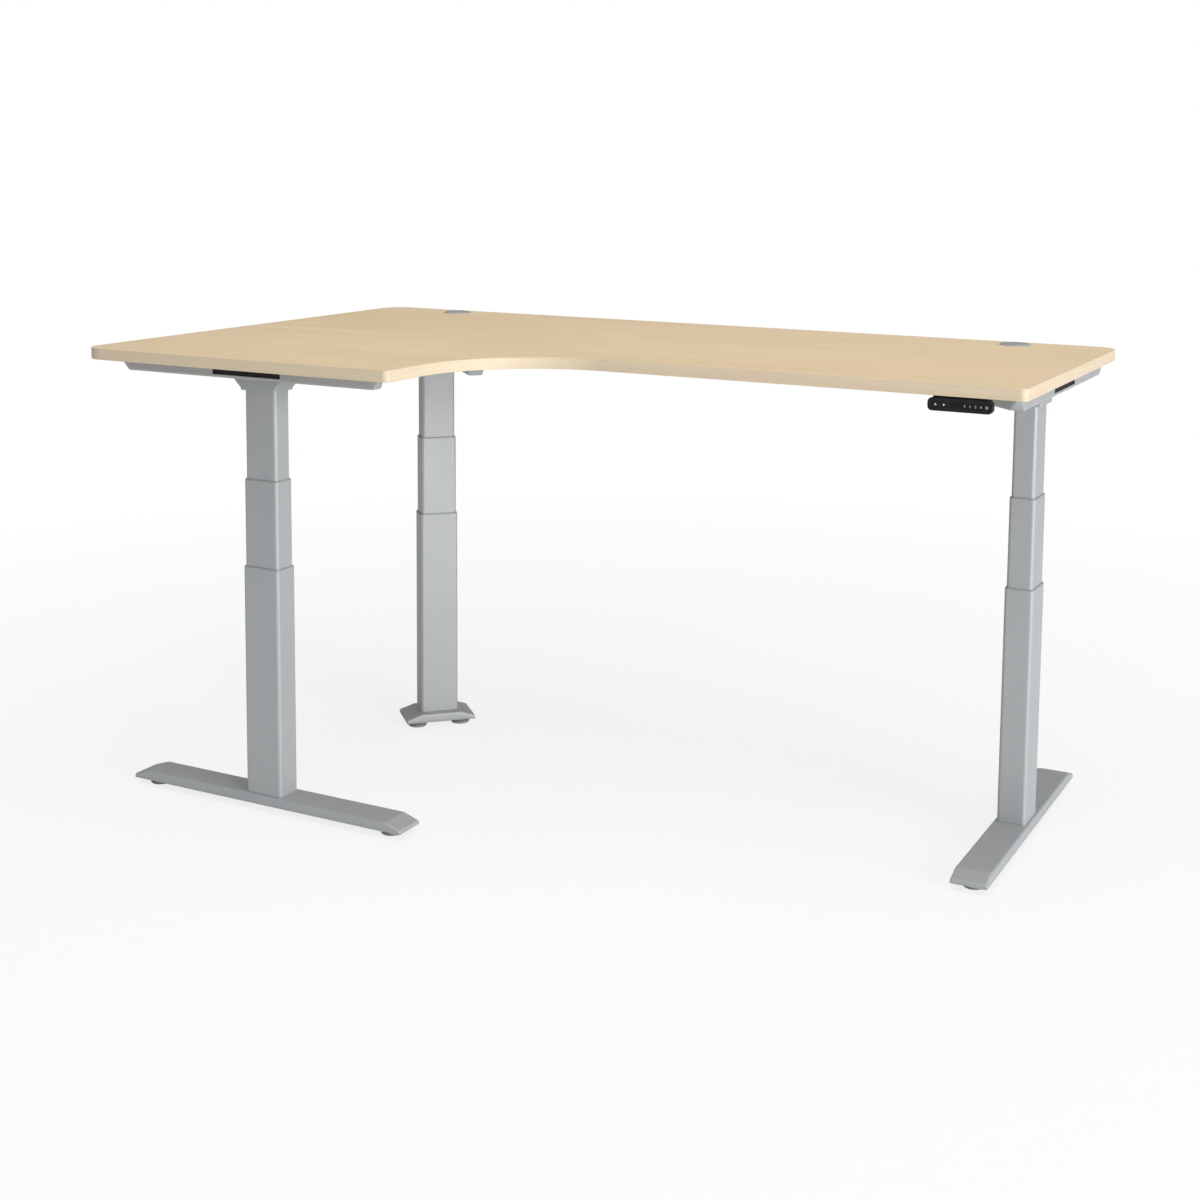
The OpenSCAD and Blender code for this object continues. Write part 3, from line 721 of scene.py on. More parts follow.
@dataclass(frozen=True)
class Laminate:
    """Pale maple: stretched fibres, slow figure and pores, along X or seen as an edge band."""

    name: str = "maple_laminate_painted_light"
    # The default colours, which the desktop's top face uses, are kept lighter than the edge band's copy of
    # the same maple: painted light on the top face.
    light: Colour = (0.84, 0.675, 0.435)
    mid: Colour = (0.775, 0.60, 0.36)
    dark: Colour = (0.635, 0.45, 0.25)
    rose: Colour = (0.825, 0.61, 0.425)
    roughness: float = 0.52
    shine: float = 0.34
    depth: float = 0.08 * MM
    edge_grain: bool = False

    def material(self) -> bpy.types.Material:
        """Returns the node material."""
        made, graph, shader = new_material(self.name, self.mid)
        if self.edge_grain:
            board, fibre, pore = (1.6, 1.6, 60.0), (7.0, 7.0, 900.0), (40.0, 40.0, 2200.0)
        else:
            board, fibre, pore = (0.9, 9.0, 9.0), (6.0, 260.0, 260.0), (55.0, 900.0, 900.0)
        figure = graph.noise(graph.place(board), 1.0, 5.0, 0.62, 0.9)
        colour = graph.mix(graph.ramp(figure, 0.36, 0.66), self.light, self.mid)
        patch = graph.noise(graph.place((1.3, 3.0, 3.0)), 1.0, 2.0, 0.5, 0.3)
        colour = graph.mix(graph.ramp(patch, 0.45, 0.7, 0.0, 0.55), colour, self.rose)
        waves = {"Vector": graph.place(board), "Scale": 1.15, "Distortion": 5.5, "Detail": 3.0,
                 "Detail Scale": 0.8, "Detail Roughness": 0.6}
        across = "Z" if self.edge_grain else "Y"
        rings = graph.node("TexWave", waves, bands_direction=across, wave_profile="SAW").outputs["Fac"]
        colour = graph.mix(graph.ramp(rings, 0.62, 1.0, 0.0, 0.20), colour, self.dark)
        strands = graph.noise(graph.place(fibre), 1.0, 4.0, 0.62)
        colour = graph.mix(graph.ramp(strands, 0.48, 0.78, 0.0, 0.30), colour, self.dark)
        pores = graph.ramp(graph.noise(graph.place(pore), 1.0, 1.0, 0.5), 0.66, 0.76, 0.0, 0.34)
        haze = use_group(graph, Shared.HANDLING, Size=3.0).outputs[0]
        smooth = graph.ramp(haze, 0.0, 1.0, self.roughness - 0.05, self.roughness + 0.07)
        height = graph.math("SUBTRACT", graph.times(strands, 0.35), pores)
        graph.feed(shader, {
            "Base Color": graph.mix(pores, colour, dimmed(self.dark, 0.7)),
            "Roughness": graph.plus(smooth, graph.times(pores, 0.3)),
            "Normal": graph.bump(height, 0.25, self.depth),
            "Specular IOR Level": self.shine,
        })
        return made


@dataclass(frozen=True)
class MouldedPlastic:
    """Injection moulded plastic with a spark-eroded texture, dusty in places."""

    name: str = "grey_plastic"
    base: Colour = (0.30, 0.315, 0.325)
    dusty: Colour = (0.38, 0.39, 0.40)
    roughness: float = 0.5
    grain: float = 1800.0
    depth: float = 0.06 * MM
    shine: float = 0.5

    def material(self) -> bpy.types.Material:
        """Returns the node material."""
        made, graph, shader = new_material(self.name, self.base)
        stipple = use_group(graph, Shared.STIPPLE, Grain=self.grain)
        haze = use_group(graph, Shared.HANDLING, Size=14.0).outputs[0]
        wear = use_group(graph, Shared.EDGE_WEAR, Radius=0.8 * MM, Gain=3.0).outputs[0]
        share = graph.plus(graph.times(haze, 0.30), graph.times(wear, 0.5))
        speckled = graph.plus(share, graph.times(stipple.outputs["Speck"], 0.12))
        graph.feed(shader, {
            "Base Color": graph.mix(speckled, self.base, self.dusty),
            "Roughness": graph.ramp(haze, 0.0, 1.0, self.roughness - 0.06, self.roughness + 0.10),
            "Normal": graph.bump(stipple.outputs["Height"], 0.4, self.depth),
            "Specular IOR Level": self.shine,
        })
        return made


@dataclass(frozen=True)
class Gloss:
    """Polished dark plastic or glass with faint smudges."""

    name: str = "keypad_gloss"
    base: Colour = (0.010, 0.010, 0.012)
    smudged: Colour = (0.020, 0.020, 0.023)
    roughness: float = 0.14
    shine: float = 0.22

    def material(self) -> bpy.types.Material:
        """Returns the node material."""
        made, graph, shader = new_material(self.name, self.base)
        haze = use_group(graph, Shared.HANDLING, Size=26.0).outputs[0]
        graph.feed(shader, {
            "Base Color": graph.mix(haze, self.base, self.smudged),
            "Roughness": graph.ramp(haze, 0.0, 1.0, self.roughness, self.roughness + 0.14),
            "Specular IOR Level": self.shine,
        })
        return made


@dataclass(frozen=True)
class Metal:
    """Bare or plated steel with turning marks round its own axis or along its length."""

    name: str = "zinc_plate"
    base: Colour = (0.52, 0.54, 0.56)
    tarnish: Colour = (0.40, 0.42, 0.43)
    roughness: float = 0.34
    marks: tuple[float, float, float] = (60.0, 60.0, 2400.0)
    depth: float = 0.05 * MM

    def material(self) -> bpy.types.Material:
        """Returns the node material."""
        made, graph, shader = new_material(self.name, self.base)
        lines = graph.noise(graph.place(self.marks), 1.0, 3.0, 0.6)
        stains = graph.noise(graph.place(), 38.0, 4.0, 0.6, 0.5)
        share = graph.plus(graph.ramp(stains, 0.4, 0.7, 0.0, 0.7), graph.times(lines, 0.25))
        graph.feed(shader, {
            "Base Color": graph.mix(share, self.base, self.tarnish),
            "Roughness": graph.ramp(lines, 0.3, 0.7, self.roughness - 0.08, self.roughness + 0.12),
            "Normal": graph.bump(lines, 0.2, self.depth),
            "Metallic": 1.0,
        })
        return made


@dataclass(frozen=True)
class SolderMask:
    """Green circuit board lacquer with paler copper tracks under it."""

    name: str = "solder_mask"
    base: Colour = (0.02, 0.115, 0.06)
    track: Colour = (0.05, 0.20, 0.10)
    depth: float = 0.05 * MM

    def material(self) -> bpy.types.Material:
        """Returns the node material."""
        made, graph, shader = new_material(self.name, self.base)
        inputs = {"Vector": graph.place(), "Scale": 150.0}
        cells = graph.node("TexVoronoi", inputs, distance="MANHATTAN").outputs["Distance"]
        tracks = graph.ramp(cells, 0.38, 0.42)
        graph.feed(shader, {
            "Base Color": graph.mix(tracks, self.base, self.track),
            "Roughness": graph.ramp(tracks, 0.0, 1.0, 0.28, 0.36),
            "Normal": graph.bump(tracks, 0.4, self.depth),
        })
        return made


class Finishes:
    """Every material of the desk, made once."""

    def __init__(self) -> None:
        """Makes the full set."""
        self.paint = PowderCoat().material()
        self.top = Laminate().material()
        # The edge band is the same maple as the top, given darker colours than the top face: painted shade on
        # the band's edges.
        self.band = Laminate(
            name="maple_edge_band_painted_shade", light=(0.72, 0.61, 0.45), mid=(0.675, 0.56, 0.395),
            dark=(0.58, 0.45, 0.30), rose=(0.71, 0.57, 0.43), edge_grain=True, roughness=0.45,
        ).material()
        self.grey = MouldedPlastic().material()
        self.glide = MouldedPlastic(
            name="glide_plastic", base=(0.25, 0.26, 0.265), dusty=(0.34, 0.345, 0.35)
        ).material()
        self.black = MouldedPlastic(
            name="black_plastic", base=(0.008, 0.008, 0.009), dusty=(0.02, 0.02, 0.021),
            grain=2200.0, shine=0.25,
        ).material()
        self.gloss = Gloss().material()
        self.glass = Gloss(
            name="display_glass", base=(0.004, 0.005, 0.006), smudged=(0.01, 0.012, 0.013), roughness=0.05
        ).material()
        self.print_white = MouldedPlastic(
            name="key_print", base=(0.62, 0.63, 0.64), dusty=(0.72, 0.73, 0.73), roughness=0.6
        ).material()
        self.zinc = Metal().material()
        self.bare = Metal(
            name="machined_steel", base=(0.60, 0.61, 0.62), tarnish=(0.46, 0.46, 0.46), roughness=0.26
        ).material()
        self.board = SolderMask().material()


# ---- Sub-assemblies ----


@dataclass
class Desktop:
    """The board and its edge band: an L with a curved inner corner."""

    finishes: Finishes
    main_depth: float = 745 * MM
    return_width: float = 735 * MM
    inner_radius: float = 245 * MM
    outer_radius: float = 50 * MM
    user_radius: float = 12 * MM
    band: float = 1 * MM
    band_arris: float = 0.6 * MM
    seam: float = 0.05 * MM
    board_arris: float = 0.15 * MM
    hole_radius: float = 26.5 * MM
    rebate_radius: float = 32.3 * MM
    rebate_depth: float = 1.3 * MM

    def outline(self) -> Loop:
        """Returns the L's outline: five rounded outer corners and one hollow quarter circle."""
        low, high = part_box("edge_band")
        r, near, hollow = self.outer_radius, self.user_radius, self.inner_radius
        inner_x, front_y = low.x + self.return_width, high.y - self.main_depth
        return join([
            arc((low.x + r, low.y + r), r, 180, 270, 14),
            arc((inner_x - near, low.y + near), near, 270, 360, 14),
            arc((inner_x + hollow, front_y - hollow), hollow, 180, 90, 48),
            arc((high.x - near, front_y + near), near, 270, 360, 14),
            arc((high.x - r, high.y - r), r, 0, 90, 14),
            arc((low.x + r, high.y - r), r, 90, 180, 14),
        ])

    def build(self) -> None:
        """Builds the board with its two rebated holes, and the band round it."""
        loop = self.outline()
        low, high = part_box("edge_band")
        places = [grommet_centre(side) for side in ("left", "right")]
        board = Surface()
        edge = self.band + self.seam
        board.sweep(loop, edge_profile(edge, low.z, high.z, self.board_arris), closed=False)
        rim = circle(self.rebate_radius)
        bore = circle(self.hole_radius)
        floor_z = high.z - self.rebate_depth
        for x, y in places:
            steps = [(rim, high.z), (rim, floor_z), (bore, floor_z), (bore, low.z)]
            board.grid(np.stack([level(c.at(x, y).points, z) for c, z in steps]))
        inner = loop.inset(edge + self.board_arris)
        board.cap(inner, high.z, [rim.at(x, y).points for x, y in places])
        board.cap(inner, low.z, [bore.at(x, y).points for x, y in places])
        Piece("desk_board", board, self.finishes.top, "top", Slot.LAMINATE, ("desktop",)).build()

        strip = Surface()
        soft = self.band_arris
        corners = [(0, low.z, soft), (0, high.z, soft), (self.band, high.z, 0), (self.band, low.z, 0)]
        strip.sweep(loop, fillet(corners))
        Piece("desk_edge_band", strip, self.finishes.band, "top", Slot.BAND, ("edge_band",)).build()


@dataclass
class Grommets:
    """The two cable rings and their turning caps."""

    finishes: Finishes
    flange_radius: float = 32 * MM
    tube_radius: float = 26 * MM
    bore_radius: float = 23.5 * MM
    ledge_radius: float = 21 * MM
    slot_width: float = 20 * MM
    slot_depth: float = 12 * MM
    slot_corner: float = 5 * MM
    flange_depth: float = 1.3 * MM
    play: float = 0.3 * MM

    def ring(self, x: float, y: float) -> Surface:
        """A flange, a tube and a ledge, as one turned profile.

        Args:
            x: Place of the axis.
            y: Place of the axis.

        Returns:
            The ring's surface.
        """
        top = heights("edge_band")[1]
        low, high = heights("grommet_rings")
        ledge = heights("left_grommet_cap")[0] - self.play
        under, shoulder, crown = top - self.flange_depth, top + 1.1 * MM, self.flange_radius - 3.2 * MM
        thin, thick = ledge - 2 * MM, ledge - 4 * MM
        profile = fillet([
            (self.tube_radius, low, 0.4 * MM), (self.tube_radius, under, 0),
            (self.flange_radius, under, 0), (self.flange_radius, shoulder, 1.2 * MM),
            (crown, high, 2 * MM), (self.bore_radius, high, 0.5 * MM),
            (self.bore_radius, ledge, 0), (self.ledge_radius, ledge, 0.3 * MM),
            (self.ledge_radius, thin, 0.3 * MM), (self.bore_radius, thick, 0),
            (self.bore_radius, low, 0.4 * MM),
        ])
        ring = Surface()
        ring.revolve(profile, steps=96)
        return ring.moved(Matrix.Translation((x, y, 0)))

    def cap_outline(self, radius: float) -> Loop:
        """A circle with a cable slot let into its +Y side.

        The slot's sides run parallel to Y, its two inner corners are quarter circles, and the
        circle runs round from one side of the slot to the other.

        Args:
            radius: The cap's radius.

        Returns:
            The loop, anticlockwise.
        """
        half, inner = self.slot_width / 2, self.slot_corner
        reach = np.degrees(np.arccos(half / radius))
        floor_y = radius - self.slot_depth
        rim = arc((0, 0), radius, 180 - reach, 360 + reach, 72)
        mouth_y = radius * np.sin(np.radians(reach)) - 1 * MM
        ends = (Loop(np.array([[side * half, mouth_y]]), np.array([[-side, 0.0]])) for side in (1.0, -1.0))
        right, left = ends
        corner_right = arc((half - inner, floor_y + inner), inner, 360, 270, 6)
        corner_left = arc((inner - half, floor_y + inner), inner, 270, 180, 6)
        return join([rim, right, corner_right, corner_left, left])

    def build(self) -> None:
        """Builds both rings as one piece and each cap as its own."""
        rings = Surface()
        for side in ("left", "right"):
            x, y = grommet_centre(side)
            rings.extend(self.ring(x, y))
            low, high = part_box(f"{side}_grommet_cap")
            cap = Surface()
            loop = self.cap_outline((high.x - low.x) / 2)
            cap.plate(loop, low.z, high.z, 0.5 * MM)
            cap = cap.moved(Matrix.Translation((x, y, 0)))
            node = f"{side}_grommet_cap"
            Piece(f"{node}_moulded", cap, self.finishes.grey, node, Slot.PLASTIC_GREY, (node,)).build()
        Piece("cable_rings", rings, self.finishes.grey, "top", Slot.PLASTIC_GREY, ("grommet_rings",)).build()


@dataclass
class Columns:
    """The telescopic tubes, their guides and the flared heads."""

    finishes: Finishes
    length: float = 86 * MM
    width: float = 56 * MM
    wall: float = 1.8 * MM
    step: float = 5.4 * MM
    radius: float = 7 * MM
    lip: float = 2 * MM
    guide_depth: float = 90 * MM
    base_plate: float = 10 * MM
    head_rim: float = 4 * MM
    head_flare: float = 26 * MM
    head_side: float = 8 * MM
    head_corner: float = 4 * MM
    hug: float = 0.05 * MM
    soft: float = 0.7 * MM

    def section(self, stage: Stage) -> Loop:
        """Returns the outline of a stage's tube."""
        less = stage * self.step
        return rounded_rectangle(self.length - less, self.width - less, self.radius, 10)

    def tube(self, stage: Stage, low: float, high: float) -> Surface:
        """A tube with rolled edges at both ends.

        Args:
            stage: Which tube.
            low: Height of its lower end.
            high: Height of its upper end.

        Returns:
            The tube's surface, about the leg's axis.
        """
        made = Surface()
        corners = [(d, z, self.soft) for d, z in ((0, low), (0, high), (self.wall, high), (self.wall, low))]
        made.sweep(self.section(stage), fillet(corners))
        return made

    def guide(self, stage: Stage, mouth: float) -> Surface:
        """A plastic sleeve in a tube's mouth, with a lip that lies on the tube's edge.

        Args:
            stage: The tube that it sits in.
            mouth: Height of that tube's upper edge.

        Returns:
            The sleeve's surface, about the leg's axis.
        """
        made = Surface()
        low = mouth - self.guide_depth
        tucked, rim, inside, top = self.wall + self.hug, 0.3 * MM, 2.4 * MM, mouth + self.lip
        corners = [
            (tucked, low, 0), (tucked, mouth, 0), (rim, mouth, 0.2 * MM),
            (rim, top, 0.9 * MM), (inside, top, 0.5 * MM), (inside, low, 0),
        ]
        made.sweep(self.section(stage), fillet(corners))
        return made

    def head(self, across: bool) -> Surface:
        """A collar that hugs the inner column and flares up to its bracket.

        Its outer section grows in a straight line from the rim to the bracket along the flare, and
        its inner section stays that of the column.

        Args:
            across: Whether it flares along the column's short side.

        Returns:
            The collar's surface, about the leg's axis.
        """
        low, high = heights("column_heads")
        column = (self.length - 2 * self.step, self.width - 2 * self.step)
        along, beside = column[::-1] if across else column
        first, last = 2 * self.head_rim, 2 * self.head_flare
        flare = fillet([(first, low, 0), (first, low + 4 * MM, 3 * MM), (last, high, 0)], False)
        rim = fillet([(first - 3 * MM, low, 0), (first, low, 1 * MM), (first, low + 1.5 * MM, 0)], False)
        rows = []
        for grow, z in np.concatenate([rim[1:-1], flare[1:]]):
            size = (along + grow, beside + 2 * self.head_side - max(0.0, first - grow))
            loop = rounded_rectangle(*(size[::-1] if across else size), self.head_corner)
            rows.append(level(loop.points, z))
        hole = rounded_rectangle(column[0] + 2 * self.hug, column[1] + 2 * self.hug, self.radius)
        rows += list(layers(hole.points, high, low + 0.5 * MM))
        made = Surface()
        made.grid(np.stack(rows), closed_rows=True)
        return made

    def build(self) -> None:
        """Builds all three legs' tubes, guides and heads."""
        paint, grey = self.finishes.paint, self.finishes.grey
        guides, heads = Surface(), Surface()
        for leg in LEGS:
            for stage in Stage:
                node = f"{leg.name}_{stage.name.lower()}_column"
                low, high = heights(node)
                tube = self.tube(stage, low, high)
                if stage is Stage.OUTER:
                    inside = Loop(self.section(stage).inset(self.wall), self.section(stage).normals)
                    tube.plate(inside, low + 0.2 * MM, low + self.base_plate, 0.3 * MM)
                tube = tube.moved(leg.placement)
                body = ("base", f"{leg.name}_middle", "top")[stage]
                Piece(f"{node}_tube", tube, paint, body, Slot.STEEL_PAINTED, (node,)).build()
            guides.extend(self.guide(Stage.OUTER, heights("left_outer_column")[1]).moved(leg.placement))
            node = f"{leg.name}_middle_guide"
            sleeve = self.guide(Stage.MIDDLE, heights("left_middle_column")[1]).moved(leg.placement)
            Piece(f"{node}_sleeve", sleeve, grey, f"{leg.name}_middle", Slot.PLASTIC_GREY, (node,)).build()
            heads.extend(self.head(leg.name == "corner").moved(leg.placement))
        Piece("outer_guide_sleeves", guides, grey, "base", Slot.PLASTIC_GREY, ("outer_guides",)).build()
        Piece("column_head_collars", heads, paint, "top", Slot.STEEL_PAINTED, ("column_heads",)).build()


def folded_tray(
    rise: np.ndarray, plan: np.ndarray, fold: float, slot: tuple[float, float, float, float] | None = None
) -> Surface:
    """A pressed sheet tray: a U section carried along X.

    Its depth follows a side profile and its two sides follow a plan. At each station the section
    goes up the near side, round a fold, across the back, round a fold and down the far side. Where
    the depth or the width is less than the fold, the fold shrinks with it, which closes the ends.

    Args:
        rise: Rows of (x, depth), in order.
        plan: Rows of (x, y of the near side, y of the far side), in order.
        fold: Radius of the folds.
        slot: Optional (x0, x1, z0, z1) of an opening in the near side, z measured from the open rim.

    Returns:
        The skin, open at z = 0, with its back at z = depth.
    """
    extra = np.concatenate([plan[1:-1, 0], slot[:2] if slot else []])
    rise = np.concatenate([rise, np.column_stack([extra, np.interp(extra, rise[:, 0], rise[:, 1])])])
    rise = rise[np.argsort(rise[:, 0], kind="stable")]
    x, depth = rise[:, :1], rise[:, 1:]
    near = np.interp(x, plan[:, 0], plan[:, 1])
    far = np.interp(x, plan[:, 0], plan[:, 2])
    bend = np.minimum(np.minimum(fold, depth), 0.45 * (far - near))
    levels = slot[2:] if slot else (0.4 * depth.max(),)
    column = [(near, np.zeros_like(depth))]
    column += [(near, np.minimum(z, depth - bend)) for z in levels]
    for angle in np.radians(np.linspace(0, 90, 7)):
        column.append((near + bend * (1 - np.cos(angle)), depth - bend * (1 - np.sin(angle))))
    mirrored = [(near + far - y, z) for y, z in reversed(column)]
    grid = np.stack([np.concatenate([x, y, z], axis=1) for y, z in column + mirrored], axis=1)
    skip = None
    if slot:
        middle = (x[:-1, 0] + x[1:, 0]) / 2
        skip = np.zeros((grid.shape[0] - 1, grid.shape[1] - 1), bool)
        skip[(middle > slot[0]) & (middle < slot[1]), 1] = True
    tray = Surface()
    tray.grid(grid, closed_columns=False, skip=skip)
    return tray


@dataclass
class Feet:
    """The pressed steel feet and the glides that level them."""

    finishes: Finishes
    sheet: float = 3 * MM
    slope: float = 34 * MM
    nose: float = 21 * MM
    rim: float = 13 * MM
    back: float = 32 * MM
    fold: float = 4 * MM
    stud: float = 4.7 * MM
    boss: float = 9 * MM
    play: float = 0.3 * MM
    thread_pitch: float = 0.5 * MM
    thread_depth: float = 0.35 * MM
    rib_depth: float = 0.22 * MM
    long_size: tuple[float, float] = (660 * MM, 68 * MM)
    corner_size: tuple[float, float] = (158 * MM, 94 * MM)

    def shell(self, length: float, width: float) -> Surface:
        """Returns a foot's skin about the leg's axis: a flat top that slopes to a low nose at each end."""
        half = length / 2
        nose, back = self.nose - self.rim, self.back - self.rim
        rise = fillet([
            (-half, 0, 0), (-half, nose, 2.5 * MM), (-half + self.slope, back, 12 * MM),
            (half - self.slope, back, 12 * MM), (half, nose, 2.5 * MM), (half, 0, 0),
        ], closed=False, steps=6)
        plan = np.array([(-half, -width / 2, width / 2), (half, -width / 2, width / 2)])
        skin = folded_tray(rise, plan, self.fold)
        return skin.moved(Matrix.Translation((0, 0, self.rim)))

    def glide(self, node: str) -> Surface:
        """A levelling glide: a ribbed pad with a domed back, a hexagon collar and a threaded stud.

        Args:
            node: The CAD glide that it stands for.

        Returns:
            The glide's surface, in place.
        """
        low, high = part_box(node)
        radius = (high.x - low.x) / 2
        pad = fillet([
            (0, 0, 0), (radius - 1.6 * MM, 0, 0.8 * MM), (radius, 1.8 * MM, 0.6 * MM),
            (radius, 5 * MM, 1.2 * MM), (radius - 5 * MM, 8 * MM, 5 * MM),
            (9 * MM, 9 * MM, 0), (0, 9 * MM, 0),
        ], closed=False)
        made = Surface()
        made.revolve(pad, closed=False, steps=120, ripple=self.rib_depth)
        hexagon, foot, top = 8 * MM, 8.6 * MM, 12.2 * MM
        collar = fillet([(0, foot, 0), (hexagon, foot, 0), (hexagon, top, 0.8 * MM), (0, top, 0)], False)
        made.revolve(collar, closed=False, steps=6)
        turns = np.arange(foot + 0.2 * MM, high.z - 0.6 * MM, self.thread_pitch)
        crest = self.stud - self.thread_depth * (np.arange(len(turns)) % 2)
        stud = np.concatenate([[(0, turns[0])], np.column_stack([crest, turns]), [(0, turns[-1] + 0.4 * MM)]])
        made.revolve(stud, closed=False, steps=28)
        return made.moved(upright(node))

    def build(self) -> None:
        """Builds the three feet with the bosses above their glides, and all six glides."""
        glides = {
            "left": ("left_foot_wall_glide", "left_foot_user_glide"),
            "right": ("right_foot_back_glide", "right_foot_front_glide"),
            "corner": ("corner_foot_back_glide", "corner_foot_front_glide"),
        }
        for leg in LEGS:
            node = f"{leg.name}_foot"
            size = self.corner_size if leg.name == "corner" else self.long_size
            skin = self.shell(*size).moved(leg.placement)
            Piece(f"{node}_shell", skin, self.finishes.paint, "base", Slot.STEEL_PAINTED, (node,),
                  sheet=self.sheet, open_side=Vector((0, 0, -1))).build()
            bosses = Surface()
            bore, top = self.stud + self.play, self.back - self.sheet + self.play
            foot = [(bore, self.rim, 0.5 * MM), (self.boss, self.rim, 0.8 * MM)]
            profile = fillet([*foot, (self.boss, top, 0), (bore, top, 0)])
            for name in glides[leg.name]:
                boss = Surface()
                boss.revolve(profile, steps=48)
                bosses.extend(boss.moved(upright(name)))
                turned = self.glide(name)
                Piece(f"{name}_turned", turned, self.finishes.glide, name, Slot.PLASTIC_GREY, (name,)).build()
            Piece(f"{node}_bosses", bosses, self.finishes.zinc, "base", Slot.STEEL_ZINC).build()


@dataclass
class UnderFrame:
    """The folded brackets under the desktop."""

    finishes: Finishes
    sheet: float = 2.5 * MM
    slope: float = 21 * MM
    fold: float = 4 * MM
    lip: float = 12 * MM
    width: float = 96 * MM
    outboard: float = 64 * MM
    length: float = 634 * MM
    slant_beyond: float = 8 * MM
    slot_length: float = 164 * MM
    slot_height: float = 17 * MM
    slot_rise: float = 6 * MM
    corner_back: float = 300 * MM
    corner_front: float = 545 * MM
    taper: tuple[float, float] = (330 * MM, 420 * MM)
    arm: float = 30 * MM

    def tray(
        self, plan: np.ndarray, lips: Sequence[tuple[float, float, float]], slotted: bool
    ) -> tuple[Surface, Surface]:
        """A bracket with sloping ends, open at the top.

        Args:
            plan: Rows of (x, y of its -Y side, y of its +Y side).
            lips: (x0, x1, y of the middle) of each lip under the desktop.
            slotted: Whether the -Y side has the long slot.

        Returns:
            The skin and the lips.
        """
        low, high = heights("left_end_bracket")
        depth, first, last = high - low, plan[0, 0], plan[-1, 0]
        bend = 5 * MM
        rise = fillet([
            (first, 0, 0), (first + self.slope, depth, bend), (last - self.slope, depth, bend), (last, 0, 0),
        ], closed=False, steps=5)
        half = self.slot_length / 2
        above = depth - self.slot_rise
        slot = (-half, half, above - self.slot_height, above) if slotted else None
        flip = Matrix.Translation((0, 0, high)) @ Matrix.Diagonal((1, 1, -1, 1))
        strips = Surface()
        for x0, x1, y in lips:
            outline = rounded_rectangle(x1 - x0, self.lip, 1 * MM, 3).at((x0 + x1) / 2, y)
            strips.plate(outline, high - self.sheet, high - 0.02 * MM, 0.3 * MM)
        return folded_tray(rise, plan, self.fold, slot).moved(flip), strips

    def end_tray(self) -> tuple[Surface, Surface]:
        """Returns an end bracket, whose far side is shorter than its near one, and its lips."""
        half, near, far = self.length / 2, -self.outboard, self.width - self.outboard
        inner = half + self.slant_beyond - self.width
        tip = near + self.slant_beyond
        plan = np.array([(-half, near, tip), (-inner, near, far), (inner, near, far), (half, near, tip)])
        reach = self.sheet + self.lip / 2 - 0.2 * MM
        flat, short = half - self.slope, inner - 4 * MM
        return self.tray(plan, [(-flat, flat, near + reach), (-short, short, far - reach)], True)

    def corner_tray(self) -> tuple[Surface, Surface]:
        """Returns the corner bracket, which narrows to an arm along its near wall, and its lips."""
        near, far, first = -self.width / 2, self.width / 2, -self.corner_back
        arm = near + self.arm
        plan = np.array([
            (first, near, far), (self.taper[0], near, far),
            (self.taper[1], near, arm), (self.corner_front, near, arm),
        ])
        reach = self.sheet + self.lip / 2 - 0.2 * MM
        start = first + self.slope
        lips = [(start, self.corner_front - self.slope, near + reach), (start, self.taper[0], far - reach)]
        return self.tray(plan, lips, False)

    def build(self) -> None:
        """Builds both end brackets and the diagonal corner bracket, each with its lips."""
        paint = self.finishes.paint
        for leg in LEGS:
            corner = leg.name == "corner"
            node = "corner_bracket" if corner else f"{leg.name}_end_bracket"
            skin, lips = self.corner_tray() if corner else self.end_tray()
            turned = leg.placement @ Matrix.Rotation(np.radians(-90 if corner else 0), 4, "Z")
            Piece(f"{node}_tray", skin.moved(turned), paint, "top", Slot.STEEL_PAINTED, (node,),
                  sheet=self.sheet, open_side=Vector((0, 0, 1))).build()
            Piece(f"{node}_lips", lips.moved(turned), paint, "top", Slot.STEEL_PAINTED).build()


@dataclass(frozen=True)
class Key:
    """One keypad button: its body, its place along the keypad, its size and its mark."""

    name: str
    x: float
    size: tuple[float, float]
    mark: Mark


